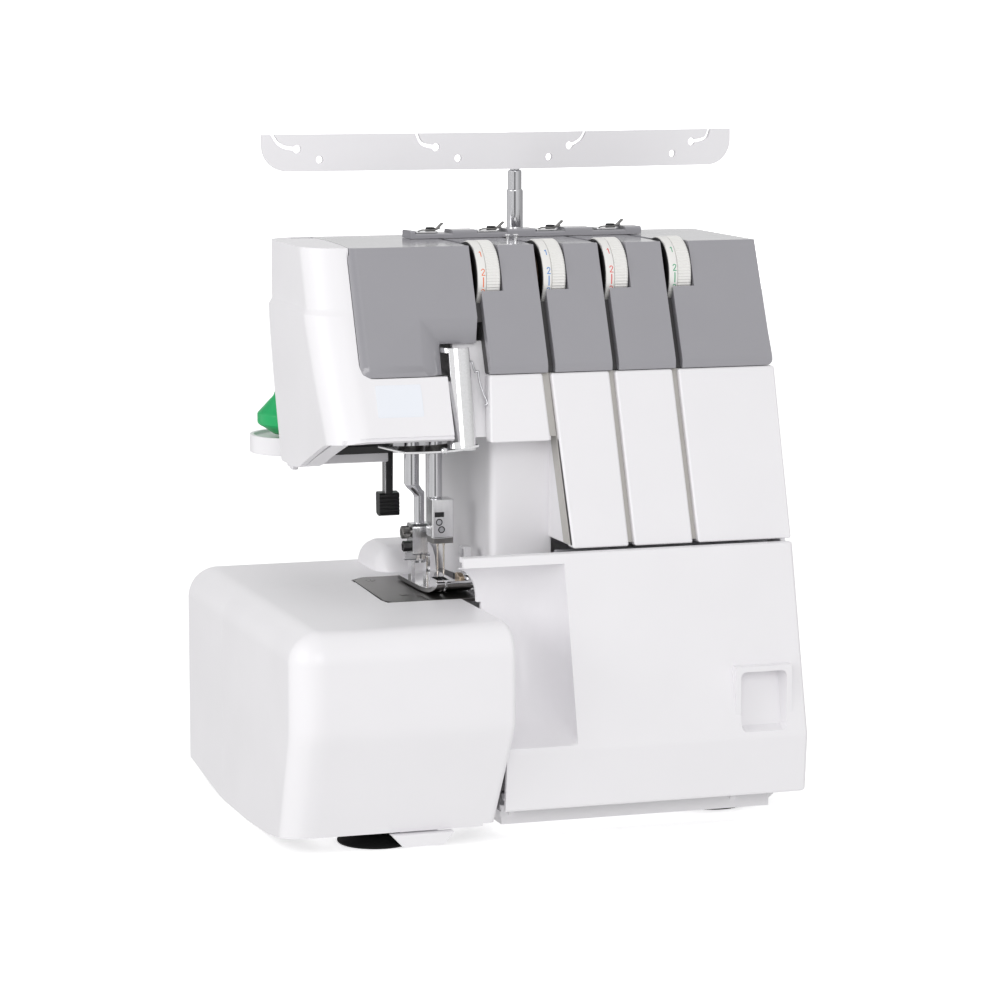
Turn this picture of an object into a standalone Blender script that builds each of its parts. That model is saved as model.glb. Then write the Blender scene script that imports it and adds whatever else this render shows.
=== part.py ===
"""Four-thread serger (overlock machine), modelled as the separate pieces it comes apart into.

Shapes are drawn in millimetres in the machine's own frame: x to the operator's right from the free
arm's left face, y to the back from the free arm's front face, z up from the table. place() turns them
into metres about the centre of the footprint.
"""

import math

import bmesh
import bpy
from mathutils import Vector

MM = 0.001
GAP = 0.4

# Overall size
WIDTH = 312.0
DEPTH = 282.0
HEIGHT = 351.5
CENTRE = Vector((WIDTH / 2, DEPTH / 2, 0.0))

# Casing
WALL = 3.0
BED_TOP = 115.5
BED_BACK = 228.0
BED_SEAM = 152.0
ARM_RIGHT = 114.0
ARM_CREASE = 64.0
ARM_LOW = (20.6, 9.8)
ARM_TAPER = 0.095
SHELL_BACK = 203.0
SHELL_TOP = 297.0
SHELL_RIGHT = 286.0
PANEL_LOW = 144.4
GRAY_LOW = 232.0
LEAN = 0.4125
HEAD_LEFT = 38.0
HEAD_LOW = 200.0
GRAY_LEFT = 58.4
NECK_LEFT = 129.8
NECK_FRONT = 88.0
PROUD = 1.6
BAY_WALL = 9.5
SEAM_TOP = 198.0
SEAM_SIDE = 190.0
SEAM_HEAD = 168.0
GRAY_CHANNELS = ((124.0, 128.0), (159.5, 163.5), (195.0, 198.7), (230.4, 234.2))
WHITE_CHANNELS = ((124.0, 128.0), (157.1, 161.0), (192.2, 195.5), (227.4, 230.7))

ARM_HINGE = (1.5, 150.0)
FOOT_NAMES = ("foot_front_left", "foot_front_right", "foot_rear_left", "foot_rear_right")
FEET = ((53.0, 44.0), (247.0, 75.0), (50.0, 180.0), (247.0, 180.0))

# Looper cover
COVER_LEFT = 114.8
COVER_RIGHT = 279.5
COVER_TOP = (40.6, 143.5)
COVER_CREASE = (16.8, 46.0)
COVER_LOW = (19.6, 15.5)
CHUTE_RIGHT = 153.0
CHUTE_LOW = 49.0
LIP_LEFT = 99.0
COVER_PIVOT = (28.0, 22.0)

# Tension dials
DIAL_RADIUS = 20.0
DIAL_WIDTH = 12.6
DIAL_AXIS = (122.2, 279.0)
DIAL_LEFTS = (126.6, 162.6, 197.4, 232.9)
DISC_OFFSET = 2.0

# Lower edge of the head's left wall, as (y, z)
CHEEK_EDGE = ((30.0, 199.5), (78.0, 199.5), (100.0, 195.5), (130.0, 185.8), (158.0, 178.0), (210.0, 178.0))

# Sewing area
NEEDLE_BAR = (113.8, 137.0)
NEEDLE_BAR_RADIUS = 3.6
NEEDLE_XS = (113.6, 117.0)
NEEDLE_Y = 132.5
NEEDLE_TIP = 118.6
PRESSER_BAR = (104.6, 150.0)
PRESSER_BAR_RADIUS = 4.0
FOOT_PIVOT = (151.0, 128.0)
LIFTER_PIVOT = (181.0, 198.0)
PLATE_THICK = 1.8

# Thread clips on the head
CLIP_XS = (124.0, 158.4, 192.0, 226.5)

# Drive
MAIN_SHAFT = (160.0, 150.0)
SHAFT_RADIUS = 4.0
HANDWHEEL_RADIUS = 30.0
BIG_PULLEY = 26.0
SMALL_PULLEY = 6.5
MOTOR_AXIS = (140.0, 58.0)
BELT_PLANE = (263.0, 270.0)
STITCH_DIAL = (108.0, 74.0)

# Thread stand
ROD = (183.0, 212.0)
STAND_LOW = 174.0
STAND_TOP = 184.0
STAND_Y = 252.0
CONE_RIM = 21.4
PIN_XS = (68.0, 137.0, 208.0, 277.0)
GUIDE_LOW = 331.5
THREAD_EYES = ((59.3, 343.6), (136.2, 343.8), (213.0, 343.8), (288.0, 344.6))
THREAD_HOLES = ((71.6, 337.8), (148.5, 337.7), (200.6, 337.8), (276.1, 338.2))

COLOURS = {
    "white_plastic": ((0.86, 0.86, 0.87), 0.38, 0.0),
    "gray_plastic": ((0.34, 0.34, 0.36), 0.25, 0.0),
    "dial_plastic": ((0.88, 0.88, 0.86), 0.4, 0.0),
    "black_plastic": ((0.02, 0.02, 0.022), 0.4, 0.0),
    "black_rubber": ((0.015, 0.015, 0.015), 0.75, 0.0),
    "green_plastic": ((0.0, 0.45, 0.12), 0.35, 0.0),
    "chrome_metal": ((0.75, 0.75, 0.77), 0.1, 1.0),
    "steel_metal": ((0.5, 0.5, 0.52), 0.3, 1.0),
    "cast_aluminium": ((0.55, 0.55, 0.56), 0.5, 1.0),
}


def material(name):
    found = bpy.data.materials.get(name)
    if found:
        return found
    colour, roughness, metallic = COLOURS[name]
    made = bpy.data.materials.new(name)
    made.use_nodes = True
    shader = made.node_tree.nodes["Principled BSDF"]
    shader.inputs["Base Color"].default_value = (*colour, 1.0)
    shader.inputs["Roughness"].default_value = roughness
    shader.inputs["Metallic"].default_value = metallic
    return made


def front_y(z):
    """Where the leaning front of the head and panels stands at height z."""
    return 48.6 + LEAN * (z - 144.0)


def rounded(points, radii, steps=4):
    """A 2-D outline with its corners rounded: radii holds one radius per point."""
    outline = []
    count = len(points)
    for index, (corner, radius) in enumerate(zip(points, radii)):
        here = Vector(corner)
        if radius <= 0:
            outline.append(tuple(here))
            continue
        back = (Vector(points[index - 1]) - here).normalized()
        ahead = (Vector(points[(index + 1) % count]) - here).normalized()
        half = back.angle(ahead) / 2
        middle = here + (back + ahead).normalized() * (radius / math.sin(half))
        start = here + back * (radius / math.tan(half)) - middle
        turn = start.angle_signed(here + ahead * (radius / math.tan(half)) - middle)
        for step in range(steps + 1):
            angle = -turn * step / steps
            cosine = math.cos(angle)
            sine = math.sin(angle)
            outline.append(
                (
                    middle.x + start.x * cosine - start.y * sine,
                    middle.y + start.x * sine + start.y * cosine,
                )
            )
    return outline


def arc(centre, radius, start, end, steps):
    """Points of an arc, angles in degrees from the first axis towards the second."""
    angles = [math.radians(start + (end - start) * step / steps) for step in range(steps + 1)]
    return [(centre[0] + radius * math.cos(a), centre[1] + radius * math.sin(a)) for a in angles]


def spatial(axis, along, across):
    """A 3-D point from its place along an axis and its place in the plane across it."""
    if axis == "X":
        return (along, across[0], across[1])
    if axis == "Y":
        return (across[0], along, across[1])
    return (across[0], across[1], along)


def loft(sections):
    """A closed solid through sections of equally many 3-D points."""
    made = bmesh.new()
    rings = [[made.verts.new(point) for point in section] for section in sections]
    count = len(rings[0])
    made.faces.new(rings[0])
    made.faces.new(rings[-1])
    for low, high in zip(rings, rings[1:]):
        for index in range(count):
            after = (index + 1) % count
            made.faces.new((low[index], low[after], high[after], high[index]))
    bmesh.ops.recalc_face_normals(made, faces=made.faces)
    return made


def prism(axis, outline, low, high):
    return loft([[spatial(axis, along, point) for point in outline] for along in (low, high)])


def block(low, high):
    outline = ((low[0], low[1]), (high[0], low[1]), (high[0], high[1]), (low[0], high[1]))
    return prism("Z", outline, low[2], high[2])


def turned(axis, centre, profile, steps=24):
    """A solid of revolution. profile holds (along, radius) pairs; a radius of 0 closes on the axis."""
    made = bmesh.new()
    rings = []
    for along, radius in profile:
        if radius == 0:
            rings.append([made.verts.new(spatial(axis, along, centre))])
            continue
        across = arc(centre, radius, 0, 360, steps)[:-1]
        rings.append([made.verts.new(spatial(axis, along, point)) for point in across])
    pairs = list(zip(rings, rings[1:]))
    if profile[0][1] > 0 and profile[-1][1] > 0:
        pairs.append((rings[-1], rings[0]))
    for first, second in pairs:
        for index in range(steps):
            after = (index + 1) % steps
            corners = [first[index % len(first)], first[after % len(first)]]
            corners += [second[after % len(second)], second[index % len(second)]]
            made.faces.new(list(dict.fromkeys(corners)))
    bmesh.ops.recalc_face_normals(made, faces=made.faces)
    return made


def rod(axis, centre, radius, low, high, steps=16):
    return turned(axis, centre, ((low, 0), (low, radius), (high, radius), (high, 0)), steps)


def tube(axis, centre, radii, low, high, steps=20):
    outer, inner = radii
    return turned(axis, centre, ((low, inner), (low, outer), (high, outer), (high, inner)), steps)


def place(point):
    return (Vector(point) - CENTRE) * MM


def add_object(name, shape, pivot):
    """Turns a shape in millimetres into an object in metres whose origin is the pivot."""
    bmesh.ops.translate(shape, verts=shape.verts, vec=-Vector(pivot))
    bmesh.ops.scale(shape, verts=shape.verts, vec=Vector((MM, MM, MM)))
    mesh = bpy.data.meshes.new(name)
    shape.to_mesh(mesh)
    shape.free()
    made = bpy.data.objects.new(name, mesh)
    made.location = place(pivot)
    bpy.context.scene.collection.objects.link(made)
    return made


def combine(target, shape, operation):
    """Unites a shape with a piece, or cuts it from the piece, with a hidden helper object."""
    helper = add_object(f"{target.name}_helper", shape, (0.0, 0.0, 0.0))
    helper.hide_render = True
    helper.display_type = "WIRE"
    change = target.modifiers.new(operation.title(), "BOOLEAN")
    change.operation = operation
    change.solver = "EXACT"
    change.object = helper


def piece(name, slot, shape, pivot=(0.0, 0.0, 0.0), joined=(), cuts=()):
    """One named part: a base shape, the shapes joined to it, and the shapes cut from it."""
    made = add_object(name, shape, pivot)
    made.data.materials.append(material(slot))
    made.data.shade_smooth()
    made.data.set_sharp_from_angle(angle=math.radians(35))
    for extra in joined:
        combine(made, extra, "UNION")
    for cutter in cuts:
        combine(made, cutter, "DIFFERENCE")
    return made


def rounded_arm(inset, y_back, low_line):
    """The free arm's block: left and front edges rounded, front face tucked back below its crease."""
    radius = 16.0 - inset
    stations = []
    heights = [(-8.0, 27.3), (ARM_CREASE, 0.0), (BED_TOP - 16.0, 0.0)]
    heights = [(z, y, 0.0) for z, y in heights]
    for step in range(1, 5):
        angle = math.radians(90 * step / 4)
        shrink = 16.0 * (1 - math.cos(angle))
        heights.append((BED_TOP - 16.0 + 16.0 * math.sin(angle), 0.0, shrink))
    for z, y_front, shrink in heights:
        z = z if z <= BED_TOP - 16.0 else z - inset * (z - BED_TOP + 16.0) / 16.0
        grow = inset + shrink
        right = ARM_RIGHT - inset - shrink * 0.2 - ARM_TAPER * max(0.0, ARM_CREASE - z)
        outline = ((grow, y_back), (grow, y_front + grow), (right, y_front + grow), (right, y_back))
        corner = max(radius - shrink, 0.6)
        plan = rounded(outline, (0, corner, max(corner * 0.5, 0.4), 0))
        stations.append([(x, y, z) for x, y in plan])
    body = loft(stations)
    if low_line:
        cut_below(body, low_line)
    return body


def cut_below(body, low_line):
    """Trims a shape flat at one height."""
    bmesh.ops.bisect_plane(
        body,
        geom=body.verts[:] + body.edges[:] + body.faces[:],
        plane_co=(0, 0, low_line),
        plane_no=(0, 0, -1),
        clear_outer=True,
    )
    bmesh.ops.holes_fill(body, edges=body.edges)
    bmesh.ops.recalc_face_normals(body, faces=body.faces)


def make_cloth_plate():
    """The swinging front block of the free arm, hinged at its left rear edge."""
    outer = rounded_arm(0.0, BED_SEAM - GAP, 2.0)
    inner = rounded_arm(WALL, BED_SEAM + 5.0, None)
    under = prism("X", ((15.0, -9.0), (15.0, 9.8), (60.0, 4.0), (100.0, 2.01), (165.0, -9.0)), -5, 120)
    side = block((100.0, 66.0, -10.0), (130.0, 160.0, BED_TOP - WALL))
    right_edge = block((103.0, 10.0, -10.0), (130.0, 70.0, 10.6))
    swing_notch = block((98.0, 57.0, -10.0), (130.0, 70.0, 12.6))
    plate = ((71.6, 83.6), (130.0, 83.6), (130.0, 160.0), (74.0, 160.0), (70.4, 92.0))
    return piece(
        "cloth_plate",
        "white_plastic",
        outer,
        pivot=(*ARM_HINGE, 60.0),
        cuts=(inner, under, side, right_edge, swing_notch, prism("Z", plate, 90.0, 130.0)),
    )


def make_rear_bed():
    """The fixed bed behind the cloth plate, with the hump beside the column."""
    front = BED_SEAM + GAP
    top = rounded(
        ((0.0, -5.0), (0.0, BED_TOP), (127.0, BED_TOP), (127.0, -5.0)),
        (0, 16.0, 0, 0),
    )
    outer = prism("Y", top, front, BED_BACK)
    inner = prism(
        "Y",
        rounded(
            ((WALL, -9.0), (WALL, BED_TOP - WALL), (129.0, BED_TOP - WALL), (129.0, -9.0)),
            (0, 13.0, 0, 0),
        ),
        front - 5.0,
        BED_BACK - WALL,
    )
    hump = prism(
        "Y",
        rounded(((94.0, 114.0), (96.0, 129.0), (126.4, 129.0), (126.4, 114.0)), (0, 10.0, 0, 0)),
        178.0,
        BED_BACK - 1.0,
    )
    low = prism("X", ((140.0, -9.0), (140.0, 2.0), (160.0, 2.0), (230.0, 10.0), (230.0, -9.0)), -5, 140)
    plate = prism(
        "Z", ((71.0, 83.6), (130.0, 83.6), (130.0, 167.4), (81.4, 167.4), (73.4, 159.6)), 90.0,
        130.0,
    )
    return piece("rear_bed", "white_plastic", outer, joined=(hump,), cuts=(inner, low, plate))


def make_needle_plate():
    """The steel plate under the presser foot, with its feed slots and needle slot."""
    top = BED_TOP
    outline = ((74.4, 158.6), (71.6, 90.8), (74.6, 84.2), (122.0, 84.2), (122.0, 166.8), (81.7, 166.8))
    plate = prism("Z", rounded(outline, (1, 2, 2, 1, 1, 1), 2), top - PLATE_THICK, top)
    slots = [block((x, 108.0, 100.0), (x + 3.0, 160.0, 130.0)) for x in (100.2, 105.6)]
    slots.append(block((111.6, 126.0, 100.0), (119.0, 139.0, 130.0)))
    slots.append(block((120.4, 110.0, 100.0), (130.0, 127.0, 130.0)))
    return piece("needle_plate", "steel_metal", plate, cuts=slots)


def make_base_tray():
    """The floor of the machine. Under the free arm its edge follows an arc that the cloth plate clears."""
    outline = [(22.0, 150.0), (22.0, 40.0), (36.0, 28.0), (50.0, 27.0), *arc(ARM_HINGE, 136.0, -65, -45, 5)]
    outline += [
        (105.0, 69.0), (118.0, 69.0), (118.0, 38.0), (266.0, 38.0), (272.0, 46.0), (272.0, 196.0),
        (22.0, 196.0),
    ]
    floor = prism("Z", outline, 9.0, 12.0)
    edge = ((38.0, 5.0), (38.0, 15.0), (41.0, 15.0), (41.0, 12.0), (50.0, 10.0), (50.0, 5.0))
    strip = prism("X", edge, 118.5, 266.0)
    tab = prism("Y", ((54.0, 8.3), (60.0, 2.0), (81.0, 2.0), (87.0, 8.3)), 17.0, 23.0)
    rib = block((62.0, 22.0, 5.0), (80.0, 40.0, 8.3))
    root = block((62.0, 30.0, 6.6), (80.0, 60.0, 9.6))
    ear = ((24.4, 18.6), (34.6, 18.6), (36.5, 10.0), (42.0, 10.0), (42.0, 26.0), (24.4, 26.0))
    ears = [prism("X", ear, low, low + 3.0) for low in (122.0, 244.0)]
    holes = [rod("X", COVER_PIVOT, 2.5, 120.0, 250.0)]
    holes += [rod("Z", foot, 4.4, -5.0, 20.0) for foot in FEET]
    holes.append(rod("Z", FEET[0], 20.2, -5.0, 6.5))
    return piece("base_tray", "white_plastic", floor, joined=[strip, tab, rib, root, *ears], cuts=holes)


def make_feet():
    """Rubber suction feet: a shallow cup under a stem that plugs into the tray."""
    profile = (
        (1.6, 0), (1.0, 13.0), (0.0, 15.0), (0.0, 19.0), (1.2, 19.5), (3.6, 15.0), (5.4, 9.0),
        (8.5, 8.0), (8.5, 4.0), (12.6, 4.0), (12.6, 0),
    )
    for name, centre in zip(FOOT_NAMES, FEET):
        piece(name, "black_rubber", turned("Z", centre, profile, 20))


def cover_shell():
    """The flat front of the looper cover with its folded top edge."""
    top_y, top_z = COVER_TOP
    crease_y, crease_z = COVER_CREASE
    low_y, low_z = COVER_LOW
    outline = (
        (top_y, top_z),
        (crease_y, crease_z),
        (low_y, low_z),
        (low_y + WALL, low_z),
        (crease_y + WALL, crease_z),
        (top_y + WALL + 0.6, top_z - 2.5),
        (50.0, top_z - 2.5),
        (47.0, top_z),
    )
    return prism("X", outline, COVER_LEFT, COVER_RIGHT)


def cover_walls():
    """The cover's hollow for trimmings, its lip, its side walls and its two hinge ears."""
    top_y, top_z = COVER_TOP
    crease_y, crease_z = COVER_CREASE
    low_y, low_z = COVER_LOW
    hollow = (
        (top_y, top_z),
        (top_y, top_z - 5.0),
        (53.0, 134.0),
        (60.0, 122.0),
        (61.0, 100.0),
        (55.0, 74.0),
        (38.0, 53.0),
        (crease_y + 0.5, CHUTE_LOW),
        (crease_y + 0.2, CHUTE_LOW - 4.0),
        (38.0, 48.5),
        (58.0, 71.5),
        (64.0, 99.0),
        (63.0, 123.0),
        (56.0, 136.5),
        (47.0, top_z),
    )
    over_arm = (
        (top_y, top_z),
        (top_y, top_z - 5.5),
        (53.0, 134.0),
        (60.0, 122.0),
        (60.4, BED_TOP + 2.0),
        (63.6, BED_TOP + 2.0),
        (63.0, 123.0),
        (56.0, 136.5),
        (47.0, top_z),
    )
    right = (
        (40.0, 141.0),
        (crease_y + 0.6, crease_z),
        (low_y + 1.0, low_z),
        (58.0, low_z),
        (58.0, 138.0),
        (50.0, 141.0),
    )
    beside_hollow = (
        (40.0, 141.0),
        (crease_y + 0.6, crease_z),
        (22.0, 44.0),
        (38.0, 49.0),
        (58.0, 71.5),
        (63.5, 99.0),
        (62.5, 123.0),
        (50.0, 141.0),
    )
    ear = ((21.0, 17.5), (32.5, 17.5), (32.5, 26.5), (20.0, 26.5))
    return [
        prism("X", hollow, COVER_LEFT, CHUTE_RIGHT - 1.0),
        prism("X", over_arm, LIP_LEFT, COVER_LEFT + 2.0),
        prism("X", right, COVER_RIGHT - WALL, COVER_RIGHT),
        prism("X", beside_hollow, CHUTE_RIGHT - WALL, CHUTE_RIGHT),
        block((240.0, 20.0, 46.5), (271.0, 31.0, 83.0)),
        prism("X", ear, 130.0, 133.0),
        prism("X", ear, 255.0, 258.0),
    ]


def make_looper_cover():
    """The front cover over the loopers: its window is cut, then the walls of the hollow are joined."""
    window = ((-5.0, CHUTE_LOW), (40.0, CHUTE_LOW), (70.0, 80.0), (70.0, 138.0), (-5.0, 138.0))
    made = piece(
        "looper_cover",
        "white_plastic",
        cover_shell(),
        pivot=(0.0, *COVER_PIVOT),
        cuts=(prism("X", window, 100.0, CHUTE_RIGHT - WALL),),
    )
    for shape in cover_walls():
        combine(made, shape, "UNION")
    foot_side = (
        (95.0, 110.0), (113.6, 110.0), (113.4, 118.0), (111.8, 125.0), (109.5, 130.0), (104.5, 135.0),
        (98.0, 137.9), (95.0, 137.9),
    )
    combine(made, prism("Y", foot_side, 30.0, 70.0), "DIFFERENCE")
    recess = ((5.0, 49.5), (24.0, 49.5), (30.0, 80.0), (5.0, 80.0))
    combine(made, prism("X", recess, 243.0, 268.0), "DIFFERENCE")
    combine(made, rod("X", COVER_PIVOT, 2.6, 125.0, 262.0), "DIFFERENCE")
    return made


def make_cover_rod():
    shape = rod("X", COVER_PIVOT, 2.0, 116.0, 274.0)
    piece("cover_hinge_rod", "steel_metal", shape, pivot=(116.0, *COVER_PIVOT))


def head_outline(z, inset):
    """Plan outline of the head at height z: left side drawn in towards the bottom."""
    left = HEAD_LEFT + inset + max(0.0, (250.0 - z) * 0.09)
    front = front_y(z) + inset * 1.08
    points = (
        (left, SHELL_BACK - inset), (left, front), (SHELL_RIGHT - inset, front),
        (SHELL_RIGHT - inset, SHELL_BACK - inset),
    )
    return rounded(points, (16.0, 18.0, 6.0, 6.0))


def head_solid(low, high, inset):
    stations = [[(x, y, z) for x, y in head_outline(z, inset)] for z in (low, high)]
    return loft(stations)


def leaning(low, high, near, far):
    """Side outline of a slab between two depths behind the leaning front."""
    return (
        (front_y(low) + near, low),
        (front_y(low) + far, low),
        (front_y(high) + far, high),
        (front_y(high) + near, high),
    )


def channel_cutters(channels, low, high, depth):
    """Slots that part the front into its upright segments."""
    outline = leaning(low, high, -20.0, depth)
    return [prism("X", outline, left, right) for left, right in channels]


def make_top_cover():
    """The gray cover over the dials, front edge and top, with one slot for each dial."""
    outer = head_solid(GRAY_LOW, SHELL_TOP, 0.0)
    bmesh.ops.translate(outer, verts=outer.verts, vec=(0.0, -PROUD, 0.0))
    inner = head_solid(GRAY_LOW - 5.0, SHELL_TOP - WALL, 0.0)
    bmesh.ops.translate(inner, verts=inner.verts, vec=(-WALL, 7.5, 0.0))
    bay = ((50.0, 225.0), (110.0, 225.0), (113.0, 261.0), (50.0, 261.0))
    cuts = [
        inner,
        block((0.0, 0.0, 200.0), (GRAY_LEFT, 300.0, 320.0)),
        block((0.0, SEAM_HEAD, 200.0), (320.0, 300.0, SHELL_TOP - 7.6)),
        block((0.0, SEAM_TOP, 200.0), (320.0, 300.0, 320.0)),
        prism("X", bay, 94.0, 124.0),
    ]
    cuts += channel_cutters(GRAY_CHANNELS, GRAY_LOW - 5.0, SHELL_TOP + 5.0, 4.0 - PROUD)
    for (left, _), dial_left in zip(GRAY_CHANNELS, DIAL_LEFTS):
        right = dial_left + DIAL_WIDTH + 0.8
        cuts.append(rod("X", DIAL_AXIS, DIAL_RADIUS + 2.2, left, right, 28))
    return piece("top_cover", "gray_plastic", outer, cuts=cuts)


def make_face_cover():
    """The white left end of the head. Its lower edge rises towards the front."""
    outer = head_solid(170.0, SHELL_TOP, 0.0)
    inner = head_solid(160.0, SHELL_TOP - WALL, WALL)
    back = SEAM_HEAD - GAP
    below = prism("X", (*CHEEK_EDGE, (210.0, 150.0), (30.0, 150.0)), 0.0, 320.0)
    bay = ((50.0, 195.0), (100.0, 195.0), (100.0, 261.0), (50.0, 261.0))
    cuts = [
        inner,
        below,
        block((GRAY_LEFT - GAP, 0.0, GRAY_LOW - GAP), (320.0, 300.0, 320.0)),
        block((118.0, 0.0, 150.0), (320.0, 300.0, 320.0)),
        block((56.0, back, 150.0), (320.0, 300.0, 320.0)),
        block((0.0, SEAM_SIDE - GAP, 150.0), (320.0, 300.0, 320.0)),
        prism("X", bay, 94.0, 122.0),
    ]
    made = piece("face_cover", "white_plastic", outer, cuts=cuts)
    over = [(y, z + 2.4) for y, z in reversed(CHEEK_EDGE[1:-1])]
    skin = [(74.0, 199.8), *CHEEK_EDGE[2:-1], (back, 178.0), (back, 180.4), *over]
    combine(made, prism("X", skin, 45.4, 62.0), "UNION")
    combine(made, block((57.0, back - WALL, 178.0), (96.0, back, HEAD_LOW + 4.0)), "UNION")
    return made


def make_rear_cover():
    """The back of the head and column, down to the bed at the back."""
    front = SEAM_HEAD + GAP
    outline = (
        (front, 16.0),
        (228.0, 16.0),
        (228.0, 102.0),
        (222.0, 112.0),
        (206.0, 116.0),
        (SHELL_BACK, 119.0),
        (SHELL_BACK, SHELL_TOP),
        (front, SHELL_TOP),
    )
    hollow = (
        (160.0, 10.0),
        (225.0, 10.0),
        (225.0, 101.0),
        (220.0, 109.5),
        (203.0, 114.0),
        (200.0, 118.0),
        (200.0, SHELL_TOP - WALL),
        (160.0, SHELL_TOP - WALL),
    )
    outer = prism("X", outline, HEAD_LEFT, SHELL_RIGHT - GAP - WALL)
    low_left = HEAD_LEFT + 6.5
    taper = prism("Y", ((30.0, 178.0), (low_left, 178.0), (HEAD_LEFT, 250.0), (30.0, 250.0)), 150.0, 230.0)
    side = (
        (low_left + WALL, 170.0),
        (low_left + WALL, 178.0),
        (HEAD_LEFT + WALL, 250.0),
        (HEAD_LEFT + WALL, SHELL_TOP - WALL),
        (56.0, SHELL_TOP - WALL),
        (56.0, 170.0),
    )
    cuts = [
        prism("X", hollow, 54.0, 300.0),
        prism("Y", side, 150.0, 200.0),
        taper,
        block((0.0, 150.0, 0.0), (128.0, 300.0, 178.0)),
        block((60.0, 180.0, 170.0), (128.0, 210.0, 192.0)),
        block((0.0, 150.0, 170.0), (56.4, SEAM_SIDE + GAP, 320.0)),
        block((50.0, 150.0, SHELL_TOP - WALL - 0.4), (320.0, SEAM_TOP + GAP, 320.0)),
        prism("Z", ((30.0, 193.0), (30.0, 210.0), (47.0, 210.0)), 170.0, 300.0),
    ]
    return piece("rear_cover", "white_plastic", outer, cuts=cuts)


def make_column_cover():
    """The inner wall of the column: a flat flank facing the front and a hollowed side facing the foot."""
    back = SHELL_BACK - 0.4
    path = [
        (159.2, NECK_FRONT), (133.0, NECK_FRONT), (NECK_LEFT, 91.0), (133.5, 112.0), (134.4, 132.0),
        (132.4, 156.0), (129.4, back - 3.2),
    ]
    inner = [
        (132.6, back - 3.2), (135.5, 156.0), (137.5, 132.0), (136.6, 111.6), (133.2, 92.0),
        (134.6, NECK_FRONT + WALL), (159.2, NECK_FRONT + WALL),
    ]
    shape = prism("Z", path + inner, BED_TOP + 0.5, HEAD_LOW - 3.0)
    return piece("column_cover", "white_plastic", shape)


def make_front_panel():
    """The white uprights below the gray cover; the first one stops at the head's lower edge."""
    low, high = PANEL_LOW, GRAY_LOW - GAP
    right_low, right_high = 281.3, 285.0
    stations = []
    for z, right in ((low, right_low), (high, right_high)):
        y = front_y(z)
        stations.append([(126.0, y, z), (right, y, z), (right, y + 20.0, z), (126.0, y + 20.0, z)])
    outer = loft(stations)
    hollow = []
    for z, right in ((low - 5.0, right_low), (high + 5.0, right_high)):
        y = front_y(z) + 7.5
        inner_right = right - WALL
        hollow.append([(100.0, y, z), (inner_right, y, z), (inner_right, y + 30.0, z), (100.0, y + 30.0, z)])
    below_first = block((100.0, 0.0, 100.0), (160.0, 300.0, 198.0))
    shelf = block((128.0, 72.0, 198.0), (157.1, 88.0, 200.6))
    bay_wall = prism("X", leaning(200.0, 247.0, BAY_WALL, BAY_WALL + WALL), 112.0, 130.0)
    bay_link = prism("X", leaning(200.2, 231.0, 6.5, BAY_WALL + 1.0), 128.2, 131.0)
    flank = prism(
        "X",
        ((52.0, 145.0), (front_y(200.0) + 3.0, 200.0), (92.0, 200.0), (92.0, 145.0)),
        161.0,
        164.0,
    )
    made = piece(
        "front_panel", "white_plastic", outer,
        cuts=[loft(hollow), below_first, *channel_cutters(WHITE_CHANNELS, low - 5.0, high + 5.0, 4.0)],
    )
    for shape in (shelf, flank, bay_wall, bay_link):
        combine(made, shape, "UNION")


def make_belt_cover():
    """The right side of the casing, with the openings for the shaft, inlet and dials."""
    outline = (
        (64.0, 16.0),
        (228.0, 16.0),
        (228.0, 102.0),
        (222.0, 112.0),
        (206.0, 116.0),
        (SHELL_BACK, 119.0),
        (SHELL_BACK, SHELL_TOP - 8.0),
        (169.0, SHELL_TOP - 8.0),
        (169.0, 231.0),
        (front_y(231.0) + 20.6, 231.0),
        (front_y(143.0) + 20.6, 143.0),
        (64.0, 138.0),
    )
    side = prism("X", outline, SHELL_RIGHT - WALL, SHELL_RIGHT)
    openings = [
        rod("X", MAIN_SHAFT, SHAFT_RADIUS + 2.0, 270.0, 300.0),
        block((270.0, 176.0, 36.0), (300.0, 204.0, 56.0)),
        block((270.0, 146.0, 38.0), (300.0, 166.0, 54.0)),
        rod("X", STITCH_DIAL, 4.4, 270.0, 300.0),
    ]
    return piece("belt_cover", "white_plastic", side, cuts=openings)


def make_inner_panel():
    """The upright panel behind the looper cover that carries the lower thread path."""
    plate = block((158.0, 68.0, 16.0), (276.0, 71.0, 141.0))
    hole = block((150.0, 60.0, 60.0), (176.0, 80.0, 104.0))
    return piece("inner_panel", "gray_plastic", plate, cuts=(hole,))


def make_frame():
    """The cast frame: bottom plate, two uprights and the arm that guides both bars."""
    bottom = block((128.0, 78.0, 13.0), (258.0, 196.0, 18.0))
    right = block((246.0, 120.0, 17.0), (252.0, 196.0, 250.0))
    left = block((142.0, 128.0, 17.0), (148.0, 196.0, 250.0))
    arm = block((96.0, 128.0, 236.0), (251.0, 162.0, 252.0))
    bar_guide = block((97.0, 128.0, 206.0), (122.0, 160.0, 237.0))
    bearings = [
        tube("X", MAIN_SHAFT, (9.0, SHAFT_RADIUS + 0.35), low, low + 10.0)
        for low in (140.0, 244.0)
    ]
    holes = [
        rod("X", MAIN_SHAFT, SHAFT_RADIUS + 0.35, 130.0, 270.0, 20),
        rod("Z", NEEDLE_BAR, NEEDLE_BAR_RADIUS + 0.35, 190.0, 270.0, 20),
        rod("Z", PRESSER_BAR, PRESSER_BAR_RADIUS + 0.35, 190.0, 270.0, 20),
        rod("X", MOTOR_AXIS, 31.0, 130.0, 254.0, 24),
        block((140.0, 120.0, 20.0), (160.0, 150.0, 100.0)),
    ]
    return piece(
        "main_frame", "cast_aluminium", bottom, joined=[right, left, arm, bar_guide, *bearings],
        cuts=holes,
    )


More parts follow.
